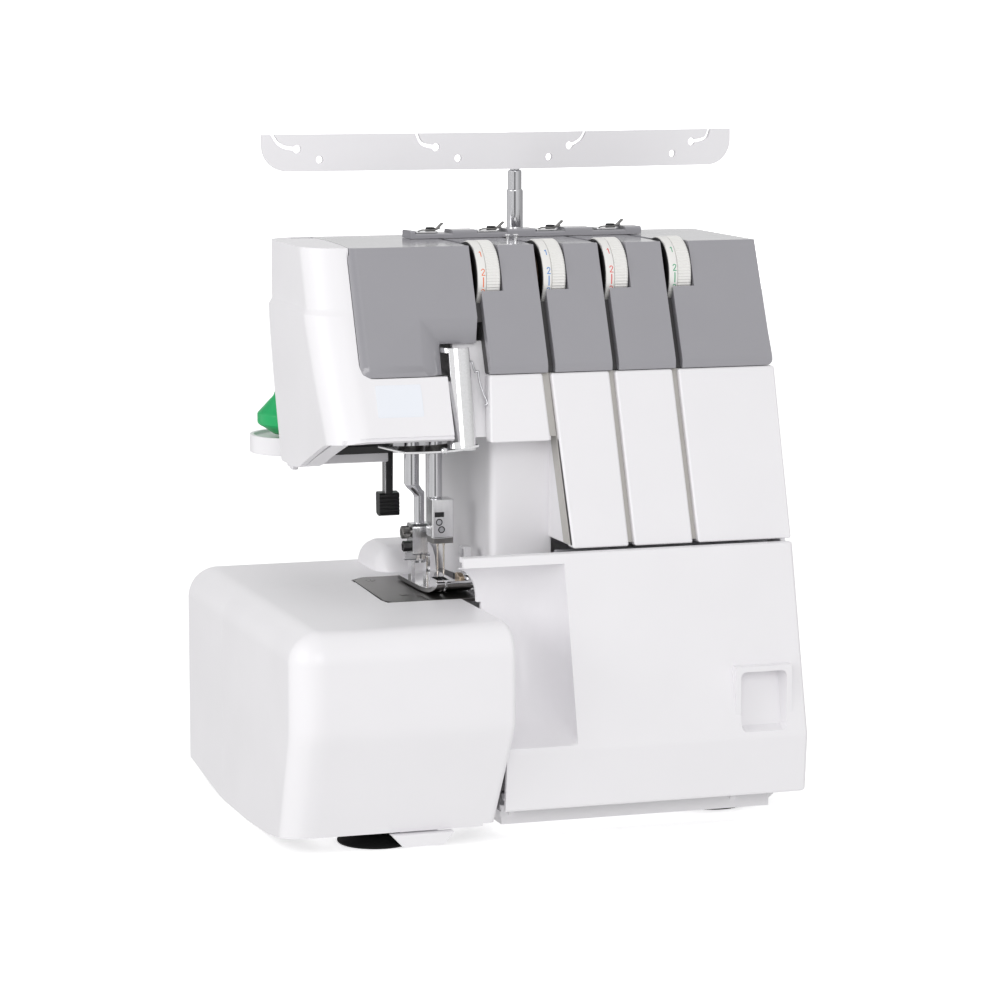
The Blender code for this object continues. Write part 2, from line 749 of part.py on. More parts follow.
def make_drive():
    """Main shaft with its pulley and cranks, handwheel, motor, motor pulley and belt."""
    low, high = BELT_PLANE
    profile = (
        (139.4, 0), (139.4, SHAFT_RADIUS), (158.0, SHAFT_RADIUS), (158.0, 12.0), (164.0, 12.0),
        (164.0, SHAFT_RADIUS),
    )
    profile += (
        (low - 1.5, SHAFT_RADIUS), (low - 1.5, BIG_PULLEY + 2), (low, BIG_PULLEY),
        (high, BIG_PULLEY), (high + 1.5, BIG_PULLEY + 2),
    )
    profile += ((high + 1.5, SHAFT_RADIUS), (288.6, SHAFT_RADIUS), (288.6, 0))
    piece("main_shaft", "steel_metal", turned("X", MAIN_SHAFT, profile, 24), pivot=(139.4, *MAIN_SHAFT))
    wheel = (
        (289.0, 0), (289.0, 26.0), (291.5, HANDWHEEL_RADIUS - 1.0), (294.0, HANDWHEEL_RADIUS),
        (303.0, HANDWHEEL_RADIUS), (306.0, 27.5), (307.0, 23.0), (303.5, 21.0), (302.5, 8.0),
        (304.0, 6.0), (304.0, 0),
    )
    piece("handwheel", "white_plastic", turned("X", MAIN_SHAFT, wheel, 32), pivot=(289.0, *MAIN_SHAFT))
    body = (
        (168.0, 0), (168.0, 8.0), (174.0, 8.0), (174.0, 22.0), (178.0, 27.0), (238.0, 27.0),
        (242.0, 22.0), (242.0, 8.0), (254.0, 8.0), (254.0, 3.0), (261.0, 3.0), (261.0, 0),
    )
    piece("motor", "black_plastic", turned("X", MOTOR_AXIS, body, 24))
    small = (
        (261.5, 0), (261.5, SMALL_PULLEY + 2), (low, SMALL_PULLEY), (high, SMALL_PULLEY),
        (high + 1.5, SMALL_PULLEY + 2), (high + 1.5, 0),
    )
    piece("motor_pulley", "black_plastic", turned("X", MOTOR_AXIS, small, 16), pivot=(261.5, *MOTOR_AXIS))
    piece("drive_belt", "black_rubber", belt_shape(1.6), cuts=[belt_shape(0.0, 5.0)])


def belt_shape(thickness, spare=0.0):
    """The outline around both pulleys: two arcs joined by their common tangents."""
    big, small = Vector(MAIN_SHAFT), Vector(MOTOR_AXIS)
    reach = big - small
    heading = math.degrees(math.atan2(reach.y, reach.x))
    spread = math.degrees(math.acos((BIG_PULLEY - SMALL_PULLEY) / reach.length))
    grown = 0.4 + thickness
    outline = arc(big, BIG_PULLEY + grown, heading - 180 + spread - 360, heading + 180 - spread - 360, 18)
    outline += arc(small, SMALL_PULLEY + grown, heading + 180 - spread, heading + 180 + spread, 8)
    low, high = BELT_PLANE
    return prism("X", outline, low + 1.0 - spare, high - 1.0 + spare)


def make_needle_bar():
    """The bar with its clamp and two needles, which go up and down together."""
    x, y = NEEDLE_BAR
    pivot = (x, y, 160.0)
    piece("needle_bar", "chrome_metal", rod("Z", NEEDLE_BAR, NEEDLE_BAR_RADIUS, 162.0, 244.0), pivot=pivot)
    clamp = block((110.4, 127.6, 138.0), (120.6, 139.6, 161.4))
    slot = block((112.6, 120.0, 151.0), (118.4, 129.4, 154.0))
    holes = [rod("Z", (needle_x, NEEDLE_Y), 1.5, 130.0, 150.0, 12) for needle_x in NEEDLE_XS]
    piece("needle_clamp", "chrome_metal", clamp, pivot=pivot, cuts=[slot, *holes])
    profile = (
        (NEEDLE_TIP, 0), (NEEDLE_TIP + 2.5, 0.45), (136.0, 0.45), (137.5, 1.0), (148.0, 1.0),
        (148.0, 0),
    )
    for side, needle_x in zip(("left", "right"), NEEDLE_XS):
        piece(f"needle_{side}", "steel_metal", turned("Z", (needle_x, NEEDLE_Y), profile, 10), pivot=pivot)


def make_presser():
    """Presser bar, foot holder, foot and the lever that lifts them."""
    x, y = PRESSER_BAR
    pivot = (x, y, 160.0)
    lower = rod("Z", (x + 4.2, y), 2.8, 146.0, 166.0)
    joggle = block((x - 1.0, y - 3.4, 160.0), (x + 6.4, y + 3.4, 168.0))
    piece(
        "presser_bar", "chrome_metal", rod("Z", PRESSER_BAR, PRESSER_BAR_RADIUS, 162.0, 248.0),
        pivot=pivot, joined=(lower, joggle),
    )
    holder = prism("X", ((145.0, 131.4), (145.0, 145.6), (156.0, 145.6), (156.0, 131.4)), 103.6, 113.6)
    fork = prism(
        "X",
        rounded(((147.4, 124.6), (147.4, 134.0), (155.0, 134.0), (155.0, 124.6)), (2, 0, 0, 2), 2),
        106.0, 111.4,
    )
    piece(
        "foot_holder", "steel_metal", holder, pivot=pivot, joined=(fork,),
        cuts=(rod("X", FOOT_PIVOT, 1.3, 100.0, 120.0, 12),),
    )
    sole = (
        (92.0, 121.6), (95.0, 119.0), (100.0, 116.0), (152.4, 116.0), (153.4, 117.4),
        (153.4, 119.0), (100.0, 119.0), (93.0, 123.4),
    )
    foot = prism("X", sole, 97.6, 121.4)
    ears = [
        prism(
            "X",
            rounded(((147.6, 118.0), (147.6, 130.4), (153.4, 130.4), (153.4, 118.0)), (0, 2.5, 2.5, 0), 2),
            low, low + 2.2,
        )
        for low in (103.4, 111.8)
    ]
    pin = rod("X", FOOT_PIVOT, 0.9, 103.6, 113.8, 10)
    cut = block((111.4, 126.0, 110.0), (119.2, 140.0, 130.0))
    made = piece("presser_foot", "chrome_metal", foot, pivot=(97.6, *FOOT_PIVOT), cuts=[cut])
    for shape in (*ears, pin):
        combine(made, shape, "UNION")
    stem = prism("X", ((177.0, 202.0), (185.0, 202.0), (186.0, 158.0), (178.0, 156.0)), 98.6, 102.6)
    side = rounded(((177.0, 146.0), (177.6, 159.0), (185.4, 160.0), (184.8, 147.0)), (1.5, 1, 1, 1.5), 2)
    knob = prism("X", side, 94.6, 106.2)
    piece("foot_lifter", "black_plastic", stem, pivot=(98.6, *LIFTER_PIVOT), joined=(knob,))


def make_lower_mechanism():
    """Loopers, knives and feed dog, in the room under the needle plate."""
    upper = prism(
        "Y",
        (
            (138.0, 60.0), (146.0, 60.0), (146.0, 72.0), (131.0, 92.0), (126.6, 106.0),
            (124.8, 109.0), (125.4, 100.0), (128.6, 88.0), (138.0, 74.0),
        ),
        118.0, 122.0,
    )
    piece("upper_looper", "steel_metal", upper, pivot=(142.0, 120.0, 66.0))
    lower = prism(
        "Y",
        (
            (138.0, 40.0), (146.0, 40.0), (146.0, 54.0), (128.0, 76.0), (110.0, 94.0),
            (104.0, 96.4), (108.0, 91.0), (124.0, 73.0), (138.0, 52.0),
        ),
        129.0, 133.0,
    )
    piece("lower_looper", "steel_metal", lower, pivot=(142.0, 131.0, 46.0))
    knife = prism(
        "X", ((112.0, 110.0), (126.0, 113.0), (126.0, 132.0), (118.0, 132.0), (112.0, 122.0)),
        124.4, 126.4,
    )
    holder = block((124.0, 119.0, 131.0), (128.0, 127.0, 137.0))
    piece("upper_knife", "steel_metal", knife, pivot=(125.4, 119.0, 120.0), joined=(holder,))
    piece("lower_knife", "steel_metal", block((121.9, 110.4, 90.0), (123.7, 117.2, 115.2)))
    teeth = []
    for x in (100.9, 106.3):
        outline = [(112.0, 106.0)]
        for step in range(12):
            start = 112.0 + step * 3.6
            outline += [(start, 115.3), (start + 3.0, 113.4)]
        outline += [(155.2, 106.0)]
        teeth.append(prism("X", outline, x, x + 1.6))
    carrier = block((100.0, 100.0, 101.0), (109.0, 166.0, 107.0))
    piece("feed_dog", "steel_metal", carrier, pivot=(104.0, 134.0, 104.0), joined=teeth)


def make_take_up():
    """The polished cover in front of the needle thread take-up, and the lever itself."""
    path = [(103.4, 94.6), (104.8, 90.0), (108.8, 88.2), (118.0, 88.2)]
    inner = [(118.0, 89.8), (109.4, 89.8), (106.2, 91.2), (105.0, 95.4)]
    lean = 0.222
    heights = (192.4, 245.6)
    stations = [[(x, y + lean * (z - heights[1]), z) for x, y in path + inner] for z in heights]
    bend = ((71.0, 192.6), (97.0, 190.4), (118.9, 193.2), (118.9, 194.8), (97.0, 192.0), (71.0, 194.2))
    foot = prism("Y", bend, 76.0, 100.0)
    piece("take_up_cover", "chrome_metal", loft(stations), joined=(foot,))
    lever = prism(
        "X", ((100.0, 224.0), (126.0, 226.0), (126.0, 233.0), (112.0, 231.0), (100.0, 230.0)),
        111.0, 113.0,
    )
    piece("take_up_lever", "chrome_metal", lever, pivot=(112.0, 124.0, 229.5))


def make_tension():
    """Four tension dials on one shaft with a pressure disc beside each."""
    profile = [(122.0, 0), (122.0, 2.6)]
    for left in DIAL_LEFTS:
        disc = left - DISC_OFFSET
        profile += [(disc, 2.6), (disc, 12.0), (left - 0.6, 13.0), (left - 0.6, 2.6)]
    profile += [(252.0, 2.6), (252.0, 0)]
    piece("tension_shaft", "steel_metal", turned("X", DIAL_AXIS, profile, 20))
    for number, left in enumerate(DIAL_LEFTS, 1):
        right = left + DIAL_WIDTH
        edge = DIAL_RADIUS
        dial = (
            (left, 3.0), (left, edge - 1.0), (left + 0.8, edge), (right - 0.8, edge),
            (right, edge - 1.0), (right, 3.0),
        )
        piece(
            f"tension_dial_{number}", "dial_plastic", turned("X", DIAL_AXIS, dial, 36),
            pivot=(left, *DIAL_AXIS),
        )


def make_top_guides():
    """The raised strip on the head and the spring clips that hold each thread on it."""
    strip = prism(
        "X",
        rounded(
            ((165.0, SHELL_TOP + GAP), (165.0, 301.0), (181.0, 301.0), (181.0, SHELL_TOP + GAP)),
            (0, 2, 2, 0), 2,
        ),
        109.0, 240.0,
    )
    piece("guide_strip", "gray_plastic", strip)
    for number, middle in enumerate(CLIP_XS, 1):
        wave = [
            (middle - 9.0, 301.4), (middle - 9.0, 302.6), (middle - 4.0, 304.6),
            (middle + 3.0, 304.6), (middle + 9.0, 306.4),
        ]
        wave += [
            (middle + 9.4, 305.6), (middle + 3.2, 303.6), (middle - 3.6, 303.6),
            (middle - 7.6, 302.2), (middle + 4.0, 302.2), (middle + 4.0, 301.4),
        ]
        piece(f"thread_clip_{number}", "chrome_metal", prism("Y", wave, 169.0, 177.0))


def make_thread_stand():
    """Spool stand with its pins and cones, telescopic rods and the thread guide on top."""
    ends = arc((PIN_XS[0] + 2.0, STAND_Y), 27.0, 90, 270, 12) + arc(
        (PIN_XS[-1] - 2.0, STAND_Y), 27.0, -90, 90, 12,
    )
    plate = prism("Z", [(x, y + 3.0) for x, y in ends], STAND_LOW, STAND_TOP)
    neck = block((148.0, SHELL_BACK + GAP, 166.0), (218.0, 236.0, 176.0))
    collar = rod("Z", ROD, 8.0, 160.0, 188.0)
    pins = [
        turned("Z", (x, STAND_Y), ((182.0, 0), (182.0, 4.0), (226.0, 3.2), (227.5, 0)), 12)
        for x in PIN_XS
    ]
    piece(
        "spool_stand", "white_plastic", plate, joined=(neck, collar, *pins),
        cuts=(rod("Z", ROD, 5.0, 164.0, 200.0, 20),),
    )
    rim = CONE_RIM
    cone = ((STAND_TOP + 0.5, 5.0), (STAND_TOP + 0.5, 13.0), (188.7, 18.0), (190.5, rim))
    cone += ((196.2, rim), (205.6, 12.4), (216.0, 8.4), (218.0, 7.0), (218.0, 5.0))
    for number, x in enumerate(PIN_XS, 1):
        piece(
            f"spool_cone_{number}", "green_plastic", turned("Z", (x, STAND_Y), cone, 24),
            pivot=(x, STAND_Y, STAND_TOP),
        )
    x, y = ROD
    piece("rod_lower", "chrome_metal", tube("Z", ROD, (4.6, 3.95), 166.0, 320.0), pivot=(x, y, 166.0))
    piece("rod_middle", "chrome_metal", tube("Z", ROD, (3.7, 3.0), 168.0, 330.6), pivot=(x, y, 168.0))
    piece("rod_upper", "chrome_metal", rod("Z", ROD, 2.6, 170.0, 346.0), pivot=(x, y, 170.0))
    make_thread_guide()


def make_thread_guide():
    """The bar over the machine: two swept wings with a slit and an eye for each thread."""
    middle, y = ROD
    left_end, right_end = 40.0, WIDTH
    front, thick = y - 8.0, 3.0
    plan = [
        (left_end, front + 9.0), (middle - 8.0, front), (middle + 8.0, front),
        (right_end, front + 13.0),
    ]
    back = [(px, py + thick) for px, py in reversed(plan)]
    wing = prism("Z", plan + back, GUIDE_LOW, HEIGHT)
    corners = []
    for end, turn in ((left_end, 1), (right_end, -1)):
        curve = arc((end + turn * 14.0, GUIDE_LOW + 14.0), 14.0, -90, -90 - turn * 90, 5)
        outside = end - turn * 5.0
        outline = [(outside, GUIDE_LOW - 5.0), (end + turn * 14.0, GUIDE_LOW - 5.0), *curve]
        outline.append((outside, GUIDE_LOW + 14.0))
        corners.append(prism("Y", outline, 190.0, 235.0))
    eyes = [rod("Y", (x, z), 2.0, 190.0, 235.0, 12) for x, z in THREAD_EYES]
    eyes += [rod("Y", (x, z), 1.9, 190.0, 235.0, 12) for x, z in THREAD_HOLES]
    slits = []
    for (x, z), lean in zip(THREAD_EYES, (-12.0, -12.0, 12.0, 12.0)):
        outline = (
            (x - 0.8, z), (x + lean - 0.8, HEIGHT + 2.0), (x + lean + 1.0, HEIGHT + 2.0),
            (x + 1.0, z),
        )
        slits.append(prism("Y", outline, 190.0, 235.0))
    boss = rod("Z", ROD, 6.4, GUIDE_LOW + 0.3, HEIGHT - 0.3, 20)
    bridge = block((middle - 6.2, front + 0.7, GUIDE_LOW + 0.5), (middle + 6.2, y, HEIGHT - 0.5))
    bore = rod("Z", ROD, 3.0, GUIDE_LOW - 5.0, 347.0, 20)
    made = piece(
        "thread_guide", "white_plastic", wing, pivot=(middle, y, GUIDE_LOW),
        cuts=[*corners, *eyes, *slits],
    )
    for shape in (boss, bridge):
        combine(made, shape, "UNION")
    combine(made, bore, "DIFFERENCE")


def make_side_controls():
    """Inlet socket, power switch and the stitch length dial on the right side."""
    socket = block((274.0, 176.4, 36.4), (288.0, 203.6, 55.6))
    mouth = block((278.0, 179.0, 39.0), (300.0, 201.0, 53.0))
    piece("inlet_socket", "black_plastic", socket, cuts=(mouth,))
    switch = prism(
        "Y", ((276.0, 38.4), (276.0, 53.6), (286.6, 53.6), (290.6, 39.4), (286.6, 38.4)), 146.4,
        165.6,
    )
    piece("power_switch", "black_plastic", switch, pivot=(284.0, 156.0, 46.0))
    profile = (
        (274.0, 0), (274.0, 4.0), (286.4, 4.0), (286.4, 14.0), (295.0, 13.4), (296.0, 12.4),
        (296.0, 0),
    )
    dial = turned("X", STITCH_DIAL, profile, 24)
    piece("stitch_dial", "gray_plastic", dial, pivot=(286.4, *STITCH_DIAL))


def clear_scene():
    for existing in list(bpy.data.objects):
        bpy.data.objects.remove(existing)


def main():
    clear_scene()
    make_base_tray()
    make_feet()
    make_rear_bed()
    make_cloth_plate()
    make_needle_plate()
    make_looper_cover()
    make_cover_rod()
    make_inner_panel()
    make_frame()
    make_front_panel()
    make_column_cover()
    make_face_cover()
    make_top_cover()
    make_rear_cover()
    make_belt_cover()
    make_drive()
    make_needle_bar()
    make_presser()
    make_lower_mechanism()
    make_take_up()
    make_tension()
    make_top_guides()
    make_thread_stand()
    make_side_controls()


main()
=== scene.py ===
"""The look of the overlock machine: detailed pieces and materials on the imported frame.

Shapes are drawn in millimetres in the machine's own frame: x to the operator's right, y to the back and
z up from the table, with x = y = 0 at the lowest corner of the CAD box.
"""
import math

import bmesh
import bpy
from mathutils import Matrix, Vector


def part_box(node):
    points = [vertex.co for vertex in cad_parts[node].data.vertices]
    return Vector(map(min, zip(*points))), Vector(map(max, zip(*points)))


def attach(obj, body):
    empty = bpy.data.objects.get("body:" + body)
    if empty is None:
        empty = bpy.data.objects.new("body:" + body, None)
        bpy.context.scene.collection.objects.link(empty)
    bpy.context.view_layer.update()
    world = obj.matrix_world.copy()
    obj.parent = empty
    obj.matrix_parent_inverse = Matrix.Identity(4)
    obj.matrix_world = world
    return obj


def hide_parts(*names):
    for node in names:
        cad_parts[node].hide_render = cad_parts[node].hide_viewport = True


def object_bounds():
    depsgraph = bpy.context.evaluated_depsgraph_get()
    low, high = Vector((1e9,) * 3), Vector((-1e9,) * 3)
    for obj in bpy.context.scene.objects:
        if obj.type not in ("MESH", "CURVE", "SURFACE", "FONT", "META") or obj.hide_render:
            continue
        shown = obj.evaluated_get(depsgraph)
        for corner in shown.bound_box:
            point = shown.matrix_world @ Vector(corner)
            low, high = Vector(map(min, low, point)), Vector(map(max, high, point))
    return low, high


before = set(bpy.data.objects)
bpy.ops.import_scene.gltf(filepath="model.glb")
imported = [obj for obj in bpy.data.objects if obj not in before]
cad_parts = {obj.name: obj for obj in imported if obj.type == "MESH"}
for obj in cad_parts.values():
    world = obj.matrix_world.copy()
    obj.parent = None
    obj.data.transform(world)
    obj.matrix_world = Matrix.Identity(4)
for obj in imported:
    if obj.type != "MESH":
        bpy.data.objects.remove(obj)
cad_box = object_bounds()
MM = 0.001
ORIGIN = Vector((cad_box[0][0], cad_box[0][1], 0))
CASING = "casing"

BED_TOP = 115.5
ARM_RIGHT = 114.4
ARM_CREASE = 64
ARM_TAPER = 0.095
SHELL_BACK = 203
SHELL_TOP = 297
SHELL_RIGHT = 286
GRAY_LOW = 232
WHITE_TOP = 231.6
COVER_LEFT = 114.8
COVER_RIGHT = 279.5
LIP_LEFT = 99
CHUTE_RIGHT = 153
DIAL_AXIS = (122.2, 279)
DIAL_RADIUS = 19.9
NEEDLE_BAR = (113.8, 137)
NEEDLE_XS = (113.6, 117)
NEEDLE_Y = 132.5
PRESSER_BAR = (104.6, 150)
FOOT_PIVOT = (151, 128)
MAIN_SHAFT = (160, 150)
STITCH_DIAL = (108, 74)
STAND_ROD = (183, 212)
STAND_Y = 252
PIN_XS = (68, 137, 208, 277)
CLIP_XS = (122, 156.4, 190, 224.5)
FEET = {
    "foot_front_left": (53, 44),
    "foot_front_right": (247, 75),
    "foot_rear_left": (50, 180),
    "foot_rear_right": (247, 180),
}


# ---- places
def node_box(node):
    """A CAD node's box in millimetres in the machine's frame."""
    low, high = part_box(node)
    return (Vector(low) - ORIGIN) / MM, (Vector(high) - ORIGIN) / MM


def front_y(z):
    """Where the leaning front of the head stands at height z."""
    return 48.6 + 0.4125 * (z - 144)


# ---- outlines
def corners(left, low, right, high):
    return ((left, low), (right, low), (right, high), (left, high))


def rounded(points, radii, steps=8):
    """An outline whose corners are rounded, by one radius or by one for each corner."""
    outline = []
    count = len(points)
    if not isinstance(radii, tuple):
        radii = (radii,) * count
    for index, (corner, radius) in enumerate(zip(points, radii)):
        here = Vector(corner)
        if radius <= 0:
            outline.append(tuple(here))
            continue
        back = (Vector(points[index - 1]) - here).normalized()
        ahead = (Vector(points[(index + 1) % count]) - here).normalized()
        half = back.angle(ahead) / 2
        middle = here + (back + ahead).normalized() * (radius / math.sin(half))
        start = here + back * (radius / math.tan(half)) - middle
        turn = start.angle_signed(here + ahead * (radius / math.tan(half)) - middle)
        for step in range(steps + 1):
            angle = -turn * step / steps
            cosine, sine = math.cos(angle), math.sin(angle)
            x = middle.x + start.x * cosine - start.y * sine
            outline.append((x, middle.y + start.x * sine + start.y * cosine))
    return outline


def arc(centre, radius, start, end, steps):
    angles = [math.radians(start + (end - start) * step / steps) for step in range(steps + 1)]
    return [(centre[0] + radius * math.cos(a), centre[1] + radius * math.sin(a)) for a in angles]


def smooth_path(points, steps=8):
    """A Catmull-Rom curve through the points."""
    points = [Vector(p) for p in points]
    found = []
    for i in range(len(points) - 1):
        p0 = points[max(i - 1, 0)]
        p1, p2 = points[i], points[i + 1]
        p3 = points[min(i + 2, len(points) - 1)]
        for step in range(steps):
            t = step / steps
            square, cube = 2 * p0 - 5 * p1 + 4 * p2 - p3, 3 * p1 - p0 - 3 * p2 + p3
            found.append(0.5 * ((2 * p1) + (p2 - p0) * t + square * t * t + cube * t ** 3))
    found.append(points[-1])
    return [tuple(p) for p in found]


def spatial(axis, along, across):
    if axis == "X":
        return (along, across[0], across[1])
    if axis == "Y":
        return (across[0], along, across[1])
    return (across[0], across[1], along)


# ---- solids, as bmesh in millimetres
def loft(sections):
    made = bmesh.new()
    rings = [[made.verts.new(point) for point in section] for section in sections]
    count = len(rings[0])
    made.faces.new(rings[0])
    made.faces.new(rings[-1])
    for low, high in zip(rings, rings[1:]):
        for index in range(count):
            after = (index + 1) % count
            made.faces.new((low[index], low[after], high[after], high[index]))
    bmesh.ops.recalc_face_normals(made, faces=made.faces)
    return made


def prism(axis, outline, low, high):
    return loft([[spatial(axis, along, point) for point in outline] for along in (low, high)])


def block(low, high):
    outline = ((low[0], low[1]), (high[0], low[1]), (high[0], high[1]), (low[0], high[1]))
    return prism("Z", outline, low[2], high[2])


def turned(axis, centre, profile, steps=48, ripple=None):
    """A solid of revolution. ripple(angle) is added to the radius of points marked with a third value."""
    made = bmesh.new()
    rings = []
    for along, radius, *marked in profile:
        if radius == 0:
            rings.append([made.verts.new(spatial(axis, along, centre))])
            continue
        ring = []
        for step in range(steps):
            angle = 2 * math.pi * step / steps
            reach = radius + (ripple(angle) if ripple and marked else 0)
            spot = (centre[0] + reach * math.cos(angle), centre[1] + reach * math.sin(angle))
            ring.append(made.verts.new(spatial(axis, along, spot)))
        rings.append(ring)
    pairs = list(zip(rings, rings[1:]))
    if profile[0][1] > 0 and profile[-1][1] > 0:
        pairs.append((rings[-1], rings[0]))
    for first, second in pairs:
        for index in range(steps):
            after = (index + 1) % steps
            near = [first[index % len(first)], first[after % len(first)]]
            far = [second[after % len(second)], second[index % len(second)]]
            made.faces.new(list(dict.fromkeys(near + far)))
    bmesh.ops.recalc_face_normals(made, faces=made.faces)
    return made


def rod(axis, centre, radius, low, high, steps=40):
    return turned(axis, centre, ((low, 0), (low, radius), (high, radius), (high, 0)), steps)


def tube_along(points, radius, steps=12):
    """A round wire through 3-D points."""
    made = bmesh.new()
    points = [Vector(p) for p in points]
    rings = []
    side = None
    for index, point in enumerate(points):
        ahead = (points[min(index + 1, len(points) - 1)] - points[max(index - 1, 0)]).normalized()
        if side is None:
            side = ahead.orthogonal().normalized()
        side = (side - ahead * side.dot(ahead)).normalized()
        other = ahead.cross(side)
        turns = [2 * math.pi * s / steps for s in range(steps)]
        rings.append(
            [made.verts.new(point + radius * (math.cos(a) * side + math.sin(a) * other)) for a in turns]
        )
    made.faces.new(rings[0])
    made.faces.new(rings[-1])
    for low, high in zip(rings, rings[1:]):
        for s in range(steps):
            made.faces.new((low[s], low[(s + 1) % steps], high[(s + 1) % steps], high[s]))
    bmesh.ops.recalc_face_normals(made, faces=made.faces)
    return made


def ribbon(path, thick, low, high, axis="X"):
    """A bent strip: an open outline given thickness, then width along an axis."""
    points = [Vector(p) for p in path]
    over = []
    for index, point in enumerate(points):
        ahead = (points[min(index + 1, len(points) - 1)] - points[max(index - 1, 0)]).normalized()
        over.append(point + Vector((-ahead.y, ahead.x)) * thick)
    return prism(axis, [tuple(p) for p in points + over[::-1]], low, high)


def merged(shapes):
    """Several separate solids in one mesh."""
    made = bmesh.new()
    for shape in shapes:
        mesh = bpy.data.meshes.new("part")
        shape.to_mesh(mesh)
        shape.free()
        made.from_mesh(mesh)
        bpy.data.meshes.remove(mesh)
    return made


# ---- objects
def raw_object(name, shape):
    bmesh.ops.scale(shape, verts=shape.verts, vec=Vector((MM, MM, MM)))
    bmesh.ops.translate(shape, verts=shape.verts, vec=ORIGIN)
    mesh = bpy.data.meshes.new(name)
    shape.to_mesh(mesh)
    shape.free()
    made = bpy.data.objects.new(name, mesh)
    bpy.context.scene.collection.objects.link(made)
    return made


def piece(
    name, shape, material, body=CASING, replaces=(), joined=(), cuts=(),
    bevel=0, segments=3, angle=38, sharp=42,
):
    """One visible piece: a base shape with shapes joined and cut, its edges rounded, riding on a body."""
    made = raw_object(name, shape)
    helpers = []
    for shapes, operation in ((joined, "UNION"), (cuts, "DIFFERENCE")):
        for extra in shapes:
            helper = raw_object(name + "_helper", extra)
            helpers.append(helper)
            change = made.modifiers.new(operation, "BOOLEAN")
            change.operation = operation
            change.solver = "EXACT"
            change.object = helper
    if bevel:
        edge = made.modifiers.new("Bevel", "BEVEL")
        edge.width = bevel * MM
        edge.segments = segments
        edge.limit_method = "ANGLE"
        edge.angle_limit = math.radians(angle)
        edge.miter_outer = "MITER_ARC"
    if made.modifiers:
        graph = bpy.context.evaluated_depsgraph_get()
        mesh = bpy.data.meshes.new_from_object(made.evaluated_get(graph))
        made.modifiers.clear()
        made.data = mesh
        for helper in helpers:
            bpy.data.objects.remove(helper)
    made.data.shade_smooth()
    made.data.set_sharp_from_angle(angle=math.radians(sharp))
    weighted = made.modifiers.new("Weighted", "WEIGHTED_NORMAL")
    weighted.keep_sharp = True
    made.data.materials.clear()
    made.data.materials.append(material)
    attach(made, body)
    if replaces:
        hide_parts(*replaces)
    return made


def dress(node, material, bevel=0.3, angle=38, segments=2):
    """A CAD node whose shape is right: it gets a detailed material and softened edges."""
    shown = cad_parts[node]
    shown.data.materials.clear()
    shown.data.materials.append(material)
    weld = shown.modifiers.new("Weld", "WELD")
    weld.merge_threshold = 0.00002
    if bevel:
        edge = shown.modifiers.new("Bevel", "BEVEL")
        edge.width = bevel * MM
        edge.segments = segments
        edge.limit_method = "ANGLE"
        edge.angle_limit = math.radians(angle)
    weighted = shown.modifiers.new("Weighted", "WEIGHTED_NORMAL")
    weighted.keep_sharp = True


# ---- materials
def new_material(name):
    made = bpy.data.materials.new(name)
    made.use_nodes = True
    return made, made.node_tree.nodes, made.node_tree.links, made.node_tree.nodes["Principled BSDF"]


def shade(colour, factor):
    return (*[min(1, channel * factor) for channel in colour], 1)


def noise(nodes, links, place, scale, detail):
    made = nodes.new("ShaderNodeTexNoise")
    made.inputs["Scale"].default_value = scale
    made.inputs["Detail"].default_value = detail
    links.new(place, made.inputs["Vector"])
    return made.outputs["Fac"]


def surface(name, colour, roughness, cloud, relief, mottle, spread, stretch=(1, 1, 1)):
    """Cloudy tone and gloss from one noise, given as (scale, detail), and fine relief from another."""
    made, nodes, links, shader = new_material(name)
    place = nodes.new("ShaderNodeMapping")
    place.inputs["Scale"].default_value = stretch
    links.new(nodes.new("ShaderNodeTexCoord").outputs["Object"], place.inputs["Vector"])
    clouds = noise(nodes, links, place.outputs["Vector"], *cloud)
    tone = nodes.new("ShaderNodeValToRGB")
    for element, position, factor in zip(tone.color_ramp.elements, (0.3, 0.7), (1 - mottle, 1 + mottle)):
        element.position = position
        element.color = shade(colour, factor)
    links.new(clouds, tone.inputs["Fac"])
    links.new(tone.outputs["Color"], shader.inputs["Base Color"])
    gloss = nodes.new("ShaderNodeMapRange")
    gloss.inputs["To Min"].default_value = max(0.02, roughness - spread)
    gloss.inputs["To Max"].default_value = roughness + spread
    links.new(clouds, gloss.inputs["Value"])
    links.new(gloss.outputs["Result"], shader.inputs["Roughness"])
    scale, detail, strength, distance = relief
    bump = nodes.new("ShaderNodeBump")
    bump.inputs["Strength"].default_value = strength
    bump.inputs["Distance"].default_value = distance
    links.new(noise(nodes, links, place.outputs["Vector"], scale, detail), bump.inputs["Height"])
    links.new(bump.outputs["Normal"], shader.inputs["Normal"])
    return made, shader


def plastic(name, colour, roughness, grain=0.06, grain_scale=1400, mottle=0.012, coat=0, spread=0.05):
    """Moulded plastic: faint cloudy tone, fine surface texture and uneven gloss."""
    relief = (grain_scale, 2, grain, 0.0003)
    made, shader = surface(name, colour, roughness, (28, 4), relief, mottle, spread)
    shader.inputs["Coat Weight"].default_value = coat
    shader.inputs["Coat Roughness"].default_value = 0.08
    return made


def metal(name, colour, roughness, along=(1, 1, 1), grain=0.08, scale=900, mottle=0.05, spread=0.04):
    """Metal with fine marks, drawn out along one direction where it is ground or brushed."""
    relief = (scale, 3, grain, 0.0002)
    made, shader = surface(name, colour, roughness, (scale, 3), relief, mottle, spread, along)
    shader.inputs["Metallic"].default_value = 1
    return made


